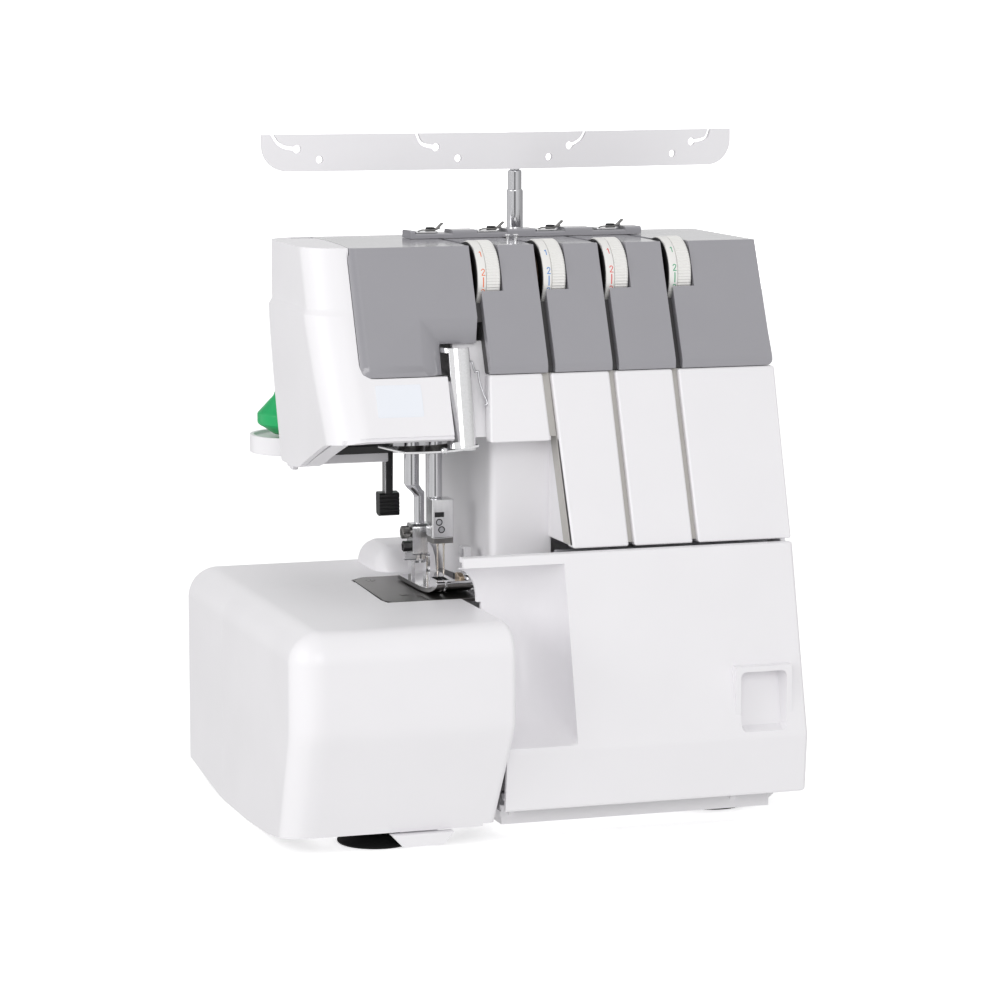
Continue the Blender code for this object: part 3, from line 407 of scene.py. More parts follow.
WHITE = plastic("white_moulded", (0.862, 0.85, 0.872), 0.36, grain=0.05, mottle=0.008)
# A darker copy of the white plastic, for white parts that stand in shade: painted shade.
WHITE_PAINTED_SHADE = plastic("white_painted_shade", (0.72, 0.71, 0.74), 0.5, grain=0.05, mottle=0.01)
GRAY = plastic("gray_gloss", (0.325, 0.32, 0.345), 0.2, grain=0.03, mottle=0.015, coat=0.45)
GRAY_DARK = plastic("gray_panel", (0.3, 0.3, 0.32), 0.4, mottle=0.02)
# Gray plastic darkened to near black for the plate behind the dials: painted shade in the channels beside
# them.
RECESS_PAINTED_SHADE = plastic("gray_recess_painted_shade", (0.06, 0.058, 0.06), 0.5, mottle=0.05)
# White plastic darkened to beige for the wall deep in the uprights' channels: painted shade.
CHANNEL_PAINTED_SHADE = plastic("white_channel_painted_shade", (0.5, 0.485, 0.46), 0.55, mottle=0.02)
DIAL = plastic("dial_white", (0.84, 0.83, 0.81), 0.42, mottle=0.01)
BLACK = plastic("black_moulded", (0.009, 0.009, 0.01), 0.32, grain=0.08, mottle=0.15)
RUBBER = plastic("black_rubber_skin", (0.006, 0.006, 0.006), 0.7, grain=0.2, grain_scale=2600, mottle=0.2)
RUBBER.node_tree.nodes["Principled BSDF"].inputs["Specular IOR Level"].default_value = 0.12
GREEN = plastic("green_moulded", (0, 0.43, 0.125), 0.34, grain=0.05, mottle=0.04)
BLANK = plastic("pale_sticker", (0.85, 0.875, 0.93), 0.25, grain=0.02, mottle=0.006)
CHROME = metal("chrome_plate", (0.82, 0.82, 0.83), 0.09, grain=0.02, mottle=0.03)
ROD_CHROME = metal("chrome_rod", (0.62, 0.62, 0.64), 0.1, along=(1, 1, 0.15), grain=0.02, mottle=0.03)
STEEL = metal("ground_steel", (0.56, 0.56, 0.58), 0.3, along=(0.12, 1, 1), grain=0.12, mottle=0.08)
SATIN = metal("satin_steel", (0.8, 0.8, 0.81), 0.24, along=(1, 1, 0.2), grain=0.05, mottle=0.04)
DARK_STEEL = metal("dark_steel", (0.22, 0.215, 0.21), 0.32, grain=0.08, mottle=0.12)
BRONZE = metal("bronze_tab", (0.42, 0.33, 0.24), 0.3, grain=0.06, mottle=0.1)
CAST = metal("cast_alloy", (0.52, 0.52, 0.53), 0.5, grain=0.3, scale=1200, mottle=0.08)
NEEDLE = metal("needle_steel", (0.74, 0.68, 0.6), 0.2, along=(1, 1, 0.1), grain=0.03)
INKS = {
    1: plastic("ink_orange", (0.85, 0.16, 0.03), 0.5),
    2: plastic("ink_blue", (0.02, 0.22, 0.62), 0.5),
    3: plastic("ink_red", (0.75, 0.04, 0.03), 0.5),
    4: plastic("ink_green", (0.01, 0.36, 0.16), 0.5),
}
PLATE_STEEL = metal("plate_steel", (0.14, 0.133, 0.13), 0.34, along=(0.12, 1, 1), grain=0.12, mottle=0.08)



# ---- free arm
def arm_shape(inset, y_back):
    """The free arm's block, its left, front and top edges rounded and its front tucked back at the foot."""
    right, radius = ARM_RIGHT, 16 - inset
    levels = [(-8, 27.3, 0)]
    for step in range(5):
        z = 58 + 12 * step / 4
        levels.append(
            (z, 27.3 * max(0, 64 - z) / 72 + (0.35 if step == 2 else 0.15 if step in (1, 3) else 0), 0)
        )
    levels.append((99.5, 0, 0))
    for step in range(1, 13):
        angle = math.radians(90 * step / 12)
        levels.append((99.5 + (16 - inset) * math.sin(angle), 0, 16 * (1 - math.cos(angle))))
    stations = []
    for z, y_front, shrink in levels:
        grow = inset + shrink
        edge = right - inset - shrink * 0.2 - ARM_TAPER * max(0, ARM_CREASE - z)
        outline = ((grow, y_back), (grow, y_front + grow), (edge, y_front + grow), (edge, y_back))
        corner = max(radius - shrink, 0.6)
        plan = rounded(outline, (0, corner, max(min(3, corner) - 0.1 * shrink, 0.4), 0), 12)
        stations.append([(x, y, z) for x, y in plan])
    return loft(stations)


def make_arm():
    seam = node_box("cloth_plate")[1].y
    foot = prism("X", ((-5, -12), (-5, 9.8), (20, 9.2), (60, 4), (100, 2), (170, 1.6), (170, -12)), -5, 130)
    side = block((100, 66, -10), (130, 160, 112.5))
    edge = block((103, 10, -10), (130, 70, 10.6))
    plate = prism("Z", ((71.6, 83.6), (130, 83.6), (130, 160), (74, 160), (70.4, 92)), 90, 130)
    piece("arm_cover", arm_shape(0, seam + 0.2), WHITE, "cloth_plate", ("cloth_plate",),
          cuts=(arm_shape(3, seam + 5), foot, side, edge, plate), bevel=0.35, angle=50)
    start = seam + 0.95
    back = 228
    profile = rounded(((0, -5), (0, BED_TOP), (127, BED_TOP), (127, -5)), (0, 16, 0, 0), 12)
    inner = rounded(((3, -9), (3, 112.5), (129, 112.5), (129, -9)), (0, 13, 0, 0), 12)
    low_cut = prism("X", ((140, -9), (140, 1.6), (160, 2), (230, 10), (230, -9)), -5, 140)
    opening = prism("Z", ((71, 83.6), (130, 83.6), (130, 167.4), (81.4, 167.4), (73.4, 159.6)), 90, 130)
    shape = prism("Y", profile, start - 0.5, back)
    dome = []
    for y, lift, draw in (
        (177, 0, 6), (179.5, 7.452, 3.2), (184, 12.006, 1), (190, 13.662, 0), (214, 13.662, 0),
        (221, 11.868, 0.6), (226, 6.348, 2.2), (227.4, 0, 4)
    ):
        outline = [(94 + draw, 112), (94 + draw, 115.2)]
        outline += [
            (94 + draw + 9 * (1 - math.cos(a)), 115.3 + lift * math.sin(a))
            for a in [math.radians(90 * s / 8) for s in range(1, 9)]
        ]
        outline += [(126.6, 115.3 + lift), (126.6, 112)]
        dome.append([(x, y, z) for x, z in outline])
    piece("rear_bed_cover", shape, WHITE, CASING, ("rear_bed",), joined=(loft(dome),),
          cuts=(prism("Y", inner, start - 6, back - 3), low_cut, opening), bevel=0.35, angle=50)


# ---- looper cover
def cover_front(z):
    """The front surface of the looper cover above and below its crease."""
    if z >= 48:
        return 16.8 + (z - 46) * (23.8 / 97.5)
    if z <= 44:
        return 19.6 - (z - 15.5) * (2.8 / 30.5)
    t = (z - 44) / 4
    return (1 - t) * cover_front(43.999) + t * cover_front(48.001) - 0.25 * math.sin(math.pi * t)


HOLLOW = smooth_path(
    [
        (17.3, 48.6), (30, 51.6), (44, 58.5), (53.5, 71), (59.2, 88), (61, 104), (59.6, 119), (55.2, 130),
        (48.6, 136.6), (40.2, 138.6)
    ],
    14
)


def hollow_y(z):
    for (y0, z0), (y1, z1) in zip(HOLLOW, HOLLOW[1:]):
        if z0 <= z <= z1:
            return y0 + (y1 - y0) * (z - z0) / max(z1 - z0, 1e-6)
    return 0


def cover_surface(x, z):
    y = cover_front(z)
    if x < CHUTE_RIGHT and 48.6 < z < 138.6:
        start = 134
        t = max(0, (x - start) / (CHUTE_RIGHT - start))
        share = math.sqrt(max(0, 1 - t * t))
        y = max(y, y + (hollow_y(z) - y) * share)
    right = max(0, (x - 277.3) / 2.2)
    y += 2.2 * (1 - math.sqrt(max(0, 1 - right * right)))
    foot = max(0, (17.3 - z) / 1.8)
    y += 1.4 * (1 - math.sqrt(max(0, 1 - foot * foot)))
    return y


def ladder(stops, counts):
    """Places from the first stop up to the last, left out itself, with so many steps between each two."""
    spans = zip(stops, stops[1:], counts)
    return [low + (high - low) * step / count for low, high, count in spans for step in range(count)]


def make_cover():
    """The cover's skin as a grid of columns and rows, closer together where it bends."""
    x_stops = (LIP_LEFT, COVER_LEFT, 134, 150, CHUTE_RIGHT, 277.3, COVER_RIGHT)
    xs = ladder(x_stops, (4, 8, 16, 12, 30, 6)) + [COVER_RIGHT]
    zs = ladder((15.5, 17.3, 44, 48.4, 58, 130, 139, 142.3), (5, 6, 6, 16, 48, 24, 3))
    front = [[Vector((x, cover_surface(x, z), z)) for x in xs] for z in zs]
    back = [[Vector((x, cover_surface(x, z) + 2.6, z)) for x in xs] for z in zs]
    lean = 23.8 / 97.5
    for step in range(0, 7):
        angle = math.radians(90 * step / 6)
        z = 142.3 + 1.2 * math.sin(angle)
        shift = 1.2 * (1 - math.cos(angle))
        front.append([Vector((x, cover_surface(x, 142.3) + shift + lean * 0.6, z)) for x in xs])
        back.append([Vector((x, max(cover_surface(x, 142.3) + 2.9, 44), 141.1 - 0.01 * step)) for x in xs])
    front.append([Vector((x, 47, 143.5)) for x in xs])
    back.append([Vector((x, 47, 141)) for x in xs])
    made = bmesh.new()
    grid = [[[made.verts.new(p) for p in row] for row in side] for side in (front, back)]
    rows, columns = len(front), len(xs)
    for i in range(rows - 1):
        for j in range(columns - 1):
            for side in grid:
                made.faces.new((side[i][j], side[i][j + 1], side[i + 1][j + 1], side[i + 1][j]))
    for i in range(rows - 1):
        for j in (0, columns - 1):
            made.faces.new((grid[0][i][j], grid[0][i + 1][j], grid[1][i + 1][j], grid[1][i][j]))
    for j in range(columns - 1):
        for i in (0, rows - 1):
            made.faces.new((grid[0][i][j], grid[0][i][j + 1], grid[1][i][j + 1], grid[1][i][j]))
    bmesh.ops.recalc_face_normals(made, faces=made.faces)
    pocket_back = block((240, 19.8, 46.5), (271, 31, 83))
    recess = loft([
        [(x, 5, z) for x, z in rounded(corners(242.6, 49, 268.4, 80.4), 3, 6)],
        [(x, 17.6 + (z - 49) * 0.244, z) for x, z in rounded(corners(242.8, 49.2, 268.2, 80.2), 3, 6)],
        [(x, 23.8 + (z - 49) * 0.2, z) for x, z in rounded(corners(244, 51.5, 267, 79.6), 2, 6)],
    ])
    over_arm = block((90, -5, -10), (COVER_LEFT, 90, 117.6))
    ear_line = smooth_path(
        [(112.4, 117), (111.9, 121), (110.6, 126), (108, 130.6), (104, 134.6), (98, 137.6)], 6
    )
    beside_foot = prism("Y", ear_line + [(90, 137.6), (90, 100), (113.8, 100)], 30, 90)
    corner = prism("Y", [(276.1, 10), *arc((276.1, 18.9), 3.4, -90, 0, 8), (285, 18.9), (285, 10)], 0, 60)
    piece(
        "front_cover", made, WHITE, "looper_cover", ("looper_cover",), joined=(pocket_back,),
        cuts=(recess, over_arm, beside_foot, corner), sharp=48
    )
    # The right wall, the ears and the tick marks take the darker white: painted shade.
    wall = prism("X", ((41, 140.5), (19.2, 46), (21.6, 19), (58, 19), (58, 137), (48, 141.2)), 276.6, 278.9)
    piece("cover_wall", wall, WHITE_PAINTED_SHADE, "looper_cover", bevel=0.4)
    ears = [
        prism(
            "X", rounded(((21.2, 17.7), (32.3, 17.7), (32.3, 26.3), (20.2, 26.3)), (2, 2, 2, 2), 4), low,
            low + 3
        )
        for low in (130, 255)
    ]
    piece("cover_ears", merged(ears), WHITE_PAINTED_SHADE, "looper_cover", bevel=0.3)
    marks = [block((x - 0.18, 40, 139.2), (x + 0.18, 41.2, 143)) for x in (108.7, 116.2, 123.1)]
    lean_marks = merged(marks)
    for vert in lean_marks.verts:
        vert.co.y += (vert.co.z - 139.2) * 0.22 - (0.1 if vert.co.y < 40.5 else 0)
    piece("cover_ticks", lean_marks, WHITE_PAINTED_SHADE, "looper_cover")


# ---- head
def head_left(z):
    """The left side: upright above a small step, then swept in towards the lower edge."""
    step = min(1, max(0, (266 - z) / 3))
    return 38 - 1.7 * step + 6.4 * (max(0, 262 - z) / 84) ** 1.25


def head_plan(z, inset, radius=20):
    left = head_left(z) + inset
    front = front_y(z) + inset * 1.08
    right, back = SHELL_RIGHT - inset, SHELL_BACK - inset
    return rounded(
        ((left, back), (left, front), (right, front), (right, back)),
        (18 - inset, radius - inset * 0.6, 6, 6), 14
    )


def head_body(low, high, inset, crown=0):
    levels = sorted([low + (high - low) * i / 14 for i in range(15)] + [262.9, 263.3, 265.7, 266.1])
    stations = [[(x, y, z) for x, y in head_plan(z, inset)] for z in levels]
    return loft(stations)


CHEEK = smooth_path(
    [
        (30, 203.4), (70, 203), (72.4, 200.8), (75.6, 199.3), (80, 198.8), (90, 197.7), (100, 195.4),
        (128, 186.6), (150, 179.4), (164, 178), (210, 178)
    ],
    6
)
TOP_LINE = smooth_path([(59, 110), (59.6, 116), (61.8, 138), (63.1, 163), (62.8, 180), (62.1, 205)], 5)


def make_head_end():
    """The white left end of the head with its lower edge rising to the front, and the underside behind it."""
    below = prism("X", CHEEK + [(210, 150), (30, 150)], 0, 320)
    gray_area = rounded(((58, WHITE_TOP), (58, 310), (330, 310), (330, WHITE_TOP)), (7.5, 0, 0, 0), 8)
    cuts = [
        head_body(160, 294, 3),
        below,
        prism("Y", gray_area, 0, 111),
        prism("Z", TOP_LINE + [(330, 205), (330, 110)], WHITE_TOP, 320),
        block((119.2, 0, 150), (320, 300, 320)),
        block((66, 167.7, 150), (320, 300, 320)),
        block((0, 189.8, 150), (320, 300, 320)),
        prism("X", ((50, 188), (96, 188), (97.5, 262), (50, 262)), 104.6, 126),
    ]
    piece(
        "head_end", head_body(170, SHELL_TOP, 0), WHITE, CASING, ("face_cover",), cuts=cuts, bevel=1.3,
        segments=4, angle=50
    )
    line = [p for p in CHEEK if 76 <= p[0] <= 166]
    skin = line + [(y, z + 2.2) for y, z in reversed(line)]
    piece("head_underside", prism("X", [(y, z + 0.1) for y, z in skin], 46, 55), WHITE, bevel=0.4)


def make_rear():
    low, high = node_box("rear_cover")
    front = low.y
    outline = (
        (front, 16), (228, 16), (228, 102), (222, 112), (206, 116), (SHELL_BACK, 119),
        (SHELL_BACK, SHELL_TOP), (front, SHELL_TOP)
    )
    lower = prism("X", rounded(outline, (0, 3, 5, 5, 3, 3, 0, 0), 6), 128.4, high.x)
    right = block((high.x, 0, 0), (320, 300, 320))
    hollow = prism(
        "X",
        (
            (150, 10), (225, 10), (225, 101), (220, 109.5), (SHELL_BACK, 114), (200, 118), (200, 200),
            (150, 200)
        ),
        131.4, 300
    )
    slots = [block((x, 190, 262), (x + 3, 215, 278)) for x in range(96, 240, 8)]
    slots += [
        block((0, 150, 170), (66.4, 190, 320)),
        block((50, 150, 293.7), (320, 198.3, 320)),
        block((100, 150, 0), (132.6, 201.2, 178.2)),
    ]
    piece("rear_shell", head_body(178, SHELL_TOP, 0), WHITE, CASING, ("rear_cover",), joined=(lower,),
          cuts=[
              block((0, 0, 100), (320, front, 320)), right, head_body(170, 294, 3), hollow,
              block((60, 180, 160), (128.2, 215, 192)), *slots
          ],
          bevel=1, angle=50)


def segment(left, right, low, high, depth=9):
    """One white upright of the leaning front; left and right hold its edges at the bottom and top."""
    sections = []
    for z, west, east in ((low, left[0], right[0]), (high, left[1], right[1])):
        y = front_y(z)
        sections.append([(west, y, z), (east, y, z), (east, y + depth, z), (west, y + depth, z)])
    return loft(sections)


def gray_outline(proud, low, high, back):
    """Side outline of the gray cover: rolled bottom edge, leaning front, long top."""
    points = [(front_y(low) + 0.5, low)]
    for step in range(1, 7):
        t = step / 6
        z = low + 6 * t
        points.append((front_y(z) + 0.5 - (proud + 0.5) * math.sin(math.pi * t / 2), z))
    points += [(front_y(high) - proud, high), (back, high), (back, high - 3)]
    return points + [(front_y(high) + 12, high - 3), (front_y(low) + 9, low)]


def bay_shape():
    """The funnel in the first segment that bares the take-up cover."""
    sections = []
    for depth, foot, side, top, ceiling in (
        (-4.6, 86.8, 86.8, 88.4, 265.6), (-1.6, 91.5, 91.5, 92.6, 260.8),
        (6.4, 103.2, 103.6, 104, 247.4), (40, 103.6, 104, 104.4, 246.8),
    ):
        outline = rounded(
            ((foot, 225), (side, 238), (top, ceiling), (126, ceiling), (126, 225)), (0, 0, 0.8, 0, 0), 5
        )
        sections.append([(x, front_y(z) + depth, z) for x, z in outline])
    return loft(sections)


def make_gray():
    """The gray cover: five segments with the dials' slots cut in their left corners."""
    low, high, back = GRAY_LOW, SHELL_TOP, 198
    dials = [node_box(f"tension_dial_{n}") for n in range(1, 5)]
    spans = [(58.4, 124), (128, 159.5), (163.5, 195), (198.7, 230.4), (234.2, SHELL_RIGHT)]
    corner_left = prism(
        "Y",
        [(50, 225), (61.9, 225), (61.9, GRAY_LOW), *arc((61.9, 235.5), 3.5, -90, -180, 8), (50, 235.5)], 0,
        130
    )
    corner_right = prism(
        "Y",
        [
            (282, 225), (282, GRAY_LOW), *arc((282, 235), 3.05, -90, 0, 8), (284.5, 250), (284, 292),
            (283.9, 300), (300, 300), (300, 225)
        ],
        0, 320
    )
    for number, (left, right) in enumerate(spans):
        cuts = []
        if number == 0:
            sections = []
            for x, proud in (
                (58.4, -0.3), (59, 0.2), (60, 0.75), (61.2, 1.25), (62.6, 1.55), (63.6, 1.6), (right, 1.6)
            ):
                sections.append([(x, y, z) for y, z in gray_outline(proud, low, high, back)])
            shape = loft(sections)
            edge = [(x + 0.3, y) for x, y in TOP_LINE]
            cuts = [bay_shape(), corner_left, prism("Z", edge + [(40, 205), (40, 110)], 225, 320)]
        else:
            shape = prism("X", gray_outline(1.6, low, high, back), left, right)
            slot = (spans[number - 1][1] - 0.6, dials[number - 1][1].x + 0.8)
            cuts.append(rod("X", DIAL_AXIS, 22.2, *slot, 96))
        if number == 4:
            cuts.append(corner_right)
        made = piece(f"gray_cover_{number + 1}", shape, GRAY, cuts=cuts, bevel=1.2, segments=4, angle=40)
        if number == 0:
            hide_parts("top_cover")
    bridge = block((120, 146, 290), (236, 198, 296))
    piece("gray_bridge", bridge, GRAY, bevel=0.6)
    floor = prism(
        "X",
        (
            (front_y(GRAY_LOW) + 3.4, GRAY_LOW), (front_y(290) + 3.4, 290), (front_y(290) + 14, 290),
            (front_y(GRAY_LOW) + 14, GRAY_LOW)
        ),
        122, 236
    )
    cuts = [rod("X", DIAL_AXIS, 22.4, span[1] - 1, dial[1].x + 0.6, 64) for span, dial in zip(spans, dials)]
    # The plate behind the dials is near black: painted shade.
    piece("gray_back", floor, RECESS_PAINTED_SHADE, cuts=[*cuts, block((110, 0, 225), (127.9, 200, 258))])


def make_uprights():
    """The white uprights under the gray cover and the wall behind their channels, darkened to beige as
    painted shade.
    """
    top = WHITE_TOP
    spans = [
        ((123.6, 127.5), (156.3, 156.3), 198), ((161, 161), (191.6, 193.1), 144.4),
        ((194.7, 196.4), (226.9, 228.3), 144.4), ((229.9, 231.6), (282, SHELL_RIGHT), 144.4),
    ]
    for number, (left, right, low) in enumerate(spans, 1):
        depth = 20 if number == 4 else 9
        made = piece(
            f"upright_{number}", segment(left, right, low, top, depth), WHITE, bevel=1.2, segments=4
        )
        if number == 1:
            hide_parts("front_panel")
    # The walls behind the channels take the darkened beige: painted shade.
    for name, low, left, right in (
        ("channel_back", 146, 160.6, 240), ("channel_back_short", 200, 128.6, 161.4)
    ):
        outline = (
            (front_y(low) + 3.4, low), (front_y(top) + 3.4, top), (front_y(top) + 14, top),
            (front_y(low) + 14, low)
        )
        piece(name, prism("X", outline, left, right), CHANNEL_PAINTED_SHADE)
    flank = prism("X", ((49.4, 145.2), (front_y(199) + 1, 199), (92, 199), (92, 145.2)), 161, 163.6)
    piece("upright_flank", flank, WHITE, bevel=0.8)
    piece("upright_shelf", block((128.1, 73, 198), (157, 92, 200.4)), WHITE, bevel=0.5)
    side = prism(
        "X",
        (
            (front_y(198.2) + 0.8, 198.2), (front_y(top) + 0.8, top), (front_y(top) + 13, top),
            (front_y(198.2) + 13, 198.2)
        ),
        128.1, 130.6
    )
    piece("upright_side", side, WHITE)


def make_column():
    """The column's inner wall: a flat flank with a rounded edge, then a long hollow towards the back."""
    path = smooth_path(
        [
            (162, 88), (146, 88), (135, 88.2), (131.2, 89.2), (129.8, 92.4), (130.6, 99), (133, 111),
            (134.6, 128), (134, 146), (131.8, 170), (128.6, 201)
        ],
        8
    )
    inner = smooth_path(
        [
            (131.8, 201.2), (134.8, 170), (137.2, 146), (137.8, 128), (136.2, 111), (133.8, 99),
            (134.2, 94), (137, 91.2), (162, 91)
        ],
        8
    )
    wall = prism("Z", path + inner, 116, 197)
    piece("column_wall", wall, WHITE, CASING, ("column_cover",), sharp=60)


# ---- sewing area
def slot_cut(axis, centre, high, radius, angle, depth=0.5, width=0.55):
    """The cutter of a straight slot in a screw head that faces along an axis."""
    across = rounded(corners(-radius - 1, -width / 2, radius + 1, width / 2), 0)
    cosine, sine = math.cos(math.radians(angle)), math.sin(math.radians(angle))
    turned_outline = [
        (centre[0] + u * cosine - v * sine, centre[1] + u * sine + v * cosine) for u, v in across
    ]
    return prism(axis, turned_outline, min(high - depth, high + depth), max(high - depth, high + depth))


def make_needle_parts():
    x, y = NEEDLE_BAR
    bar_low, bar_high = node_box("needle_bar")
    clamp_low, clamp_high = node_box("needle_clamp")
    front = clamp_low.y
    left, right = clamp_low.x - 1, clamp_high.x + 0.7
    body = prism(
        "Z", rounded(corners(left, front, right, clamp_high.y), (0.8, 0.9, 0.9, 0.8), 5), 141.4,
        clamp_high.z
    )
    recess = block((110.6, front - 2, 152.2), (115.8, front + 2.2, 154.8))
    screws = [(113.1, 149.4), (114.4, 145.4)]
    holes = [rod("Y", s, 1.7, front - 1, front + 0.5, 36) for s in screws]
    piece(
        "clamp_body", body, SATIN, "needle_bar", ("needle_clamp",),
        cuts=[recess, *holes], bevel=0.45
    )
    # The floor of the slot is a black block: painted shade in the recess.
    piece(
        "clamp_slot_painted_shade", block((110.7, front + 1.4, 152.3), (115.7, front + 2.1, 154.7)), BLACK,
        "needle_bar"
    )
    rings = [
        tube_along(
            [
                (sx + 1.62 * math.cos(a), front + 0.05, sz + 1.62 * math.sin(a))
                for a in [2 * math.pi * k / 24 for k in range(25)]
            ],
            0.28, 6
        )
        for sx, sz in screws
    ]
    piece("clamp_screw_gaps", merged(rings), BLACK, "needle_bar")
    for number, (centre, angle) in enumerate(zip(screws, (25, 70)), 1):
        head = turned(
            "Y", centre,
            ((front + 0.9, 0), (front + 0.9, 1.45), (front + 0.2, 1.45), (front, 1.25), (front, 0)), 36
        )
        piece(
            f"clamp_screw_{number}", head, STEEL, "needle_bar",
            cuts=[slot_cut("Y", centre, front, 1.5, angle, 0.4, 0.45)]
        )
    lower = prism(
        "Z", rounded(corners(109.6, front + 0.3, 121.2, 139), (0.8, 1, 1, 0.8), 6), clamp_low.z, 141.6
    )
    bores = [rod("Z", (needle_x, NEEDLE_Y), 1.25, 130, 146, 24) for needle_x in NEEDLE_XS]
    piece("clamp_foot", lower, DARK_STEEL, "needle_bar", cuts=bores, bevel=0.3)
    side = turned("X", (132.6, 157), ((120.4, 0), (120.4, 1.9), (121.6, 1.9), (121.9, 1.6), (121.9, 0)), 36)
    piece(
        "clamp_side_screw", side, STEEL, "needle_bar",
        cuts=[slot_cut("X", (132.6, 157), 121.9, 1.9, 35, 0.4, 0.5)]
    )
    thread_pin = tube_along(
        smooth_path(
            [
                (109.6, front + 1, 142), (109, front - 0.2, 141.6), (110.2, front - 0.5, 141.1),
                (114, front - 0.5, 141), (120.4, front - 0.4, 141.3)
            ],
            6
        ),
        0.28, 10
    )
    piece("clamp_thread_wire", thread_pin, CHROME, "needle_bar")
    bar = turned(
        "Z", (x, y),
        (
            (bar_low.z - 0.6, 0), (bar_low.z - 0.6, 3.1), (bar_low.z, 3.6), (bar_high.z - 0.6, 3.6),
            (bar_high.z, 3.1), (bar_high.z, 0)
        ),
        48
    )
    piece("needle_rod", bar, ROD_CHROME, "needle_bar", ("needle_bar",))
    for side_name, needle_x in zip(("left", "right"), NEEDLE_XS):
        profile = (
            (118.6, 0), (119.4, 0.12), (121.5, 0.34), (124, 0.45), (136, 0.47), (137.8, 1), (148, 1),
            (148, 0)
        )
        blade = turned("Z", (needle_x, NEEDLE_Y), profile, 20)
        eye = block((needle_x - 0.16, 130, 122.2), (needle_x + 0.16, 135, 123.6))
        scarf = block((needle_x - 1, 132.75, 121), (needle_x + 1, 134, 125.5))
        groove = block((needle_x - 0.13, 131.6, 123.4), (needle_x + 0.13, 132.25, 136.6))
        piece(
            f"needle_{side_name}_blade", blade, NEEDLE, "needle_bar", (f"needle_{side_name}",),
            cuts=(eye, scarf, groove)
        )


def make_presser_parts():
    x, y = PRESSER_BAR
    low, high = node_box("presser_bar")
    upper = turned(
        "Z", (x, y), ((166.5, 0), (166.5, 3.2), (167.6, 4), (high.z - 0.5, 4), (high.z, 3.5), (high.z, 0)),
        48
    )
    lower = turned("Z", (x + 4.2, y), ((low.z, 0), (low.z, 2.8), (163, 2.8), (163.8, 2.2), (163.8, 0)), 40)
    knee = loft(
        [
            [
                (x + shift + r * math.cos(a), y + 0.95 * r * math.sin(a), z)
                for a in [2 * math.pi * s / 32 for s in range(32)]
            ]
            for shift, r, z in (
                (0, 3.7, 168.5), (0.2, 3.8, 167), (1.4, 3.7, 165.2), (3, 3.3, 163.4), (3.9, 2.95, 161.8),
                (4.2, 2.75, 160.4)
            )
        ]
    )
    piece("presser_rod", merged([upper, lower, knee]), ROD_CHROME, "presser_bar", ("presser_bar",))
    front = 145
    outline = rounded(((front, 129.4), (front, 146.2), (156, 146.2), (156, 129.4)), (1.4, 2.4, 2, 1.4), 8)
    main = prism("X", outline, 103.6, 113.6)
    fork = prism(
        "X", rounded(((147.4, 124.7), (147.4, 134), (155, 134), (155, 124.7)), (2.4, 0, 0, 2.4), 8), 106.1,
        111.3
    )
    waist = block((112, 140, 130), (114.6, 158, 136.4))
    groove = block((108.2, 140, 120), (109.2, 150.5, 131))
    holes = [rod("X", FOOT_PIVOT, 1.2, 100, 120, 32)]
    piece(
        "holder_block", main, SATIN, "presser_bar", ("foot_holder",), joined=(fork,),
        cuts=[waist, groove, *holes], bevel=0.4
    )
    profile = []
    for along, radius in ((103.7, 2.7), (102.9, 2.7), (102.6, 3.3), (98.9, 3.3), (98.6, 3)):
        profile.append((along, radius, 1) if 98.7 < along < 102.7 else (along, radius))
    knob = turned(
        "X", (149.4, 141.6), ((103.7, 0), *profile, (98.6, 0)), 96, lambda a: 0.16 * math.cos(24 * a)
    )
    piece(
        "holder_thumb_screw", knob, DARK_STEEL, "presser_bar",
        cuts=[slot_cut("X", (149.4, 141.6), 98.6, 3, 40, 0.7, 0.8)]
    )
    hexagon = [
        (149.6 + 3 * math.cos(math.radians(60 * s + 12)), 134 + 3 * math.sin(math.radians(60 * s + 12)))
        for s in range(6)
    ]
    socket = rod("X", (149.6, 134), 1.2, 98, 100.4, 6)
    piece(
        "holder_set_screw", prism("X", hexagon, 99.4, 103.7), BLACK, "presser_bar",
        cuts=[socket], bevel=0.3
    )
    bracket = ribbon(
        smooth_path([(146.4, 131), (146.4, 128), (147.2, 126.8), (149.5, 126.6)], 6), 0.8, 99.8, 106.2
    )
    piece("holder_lever", bracket, STEEL, "presser_bar", bevel=0.2)
    make_foot()


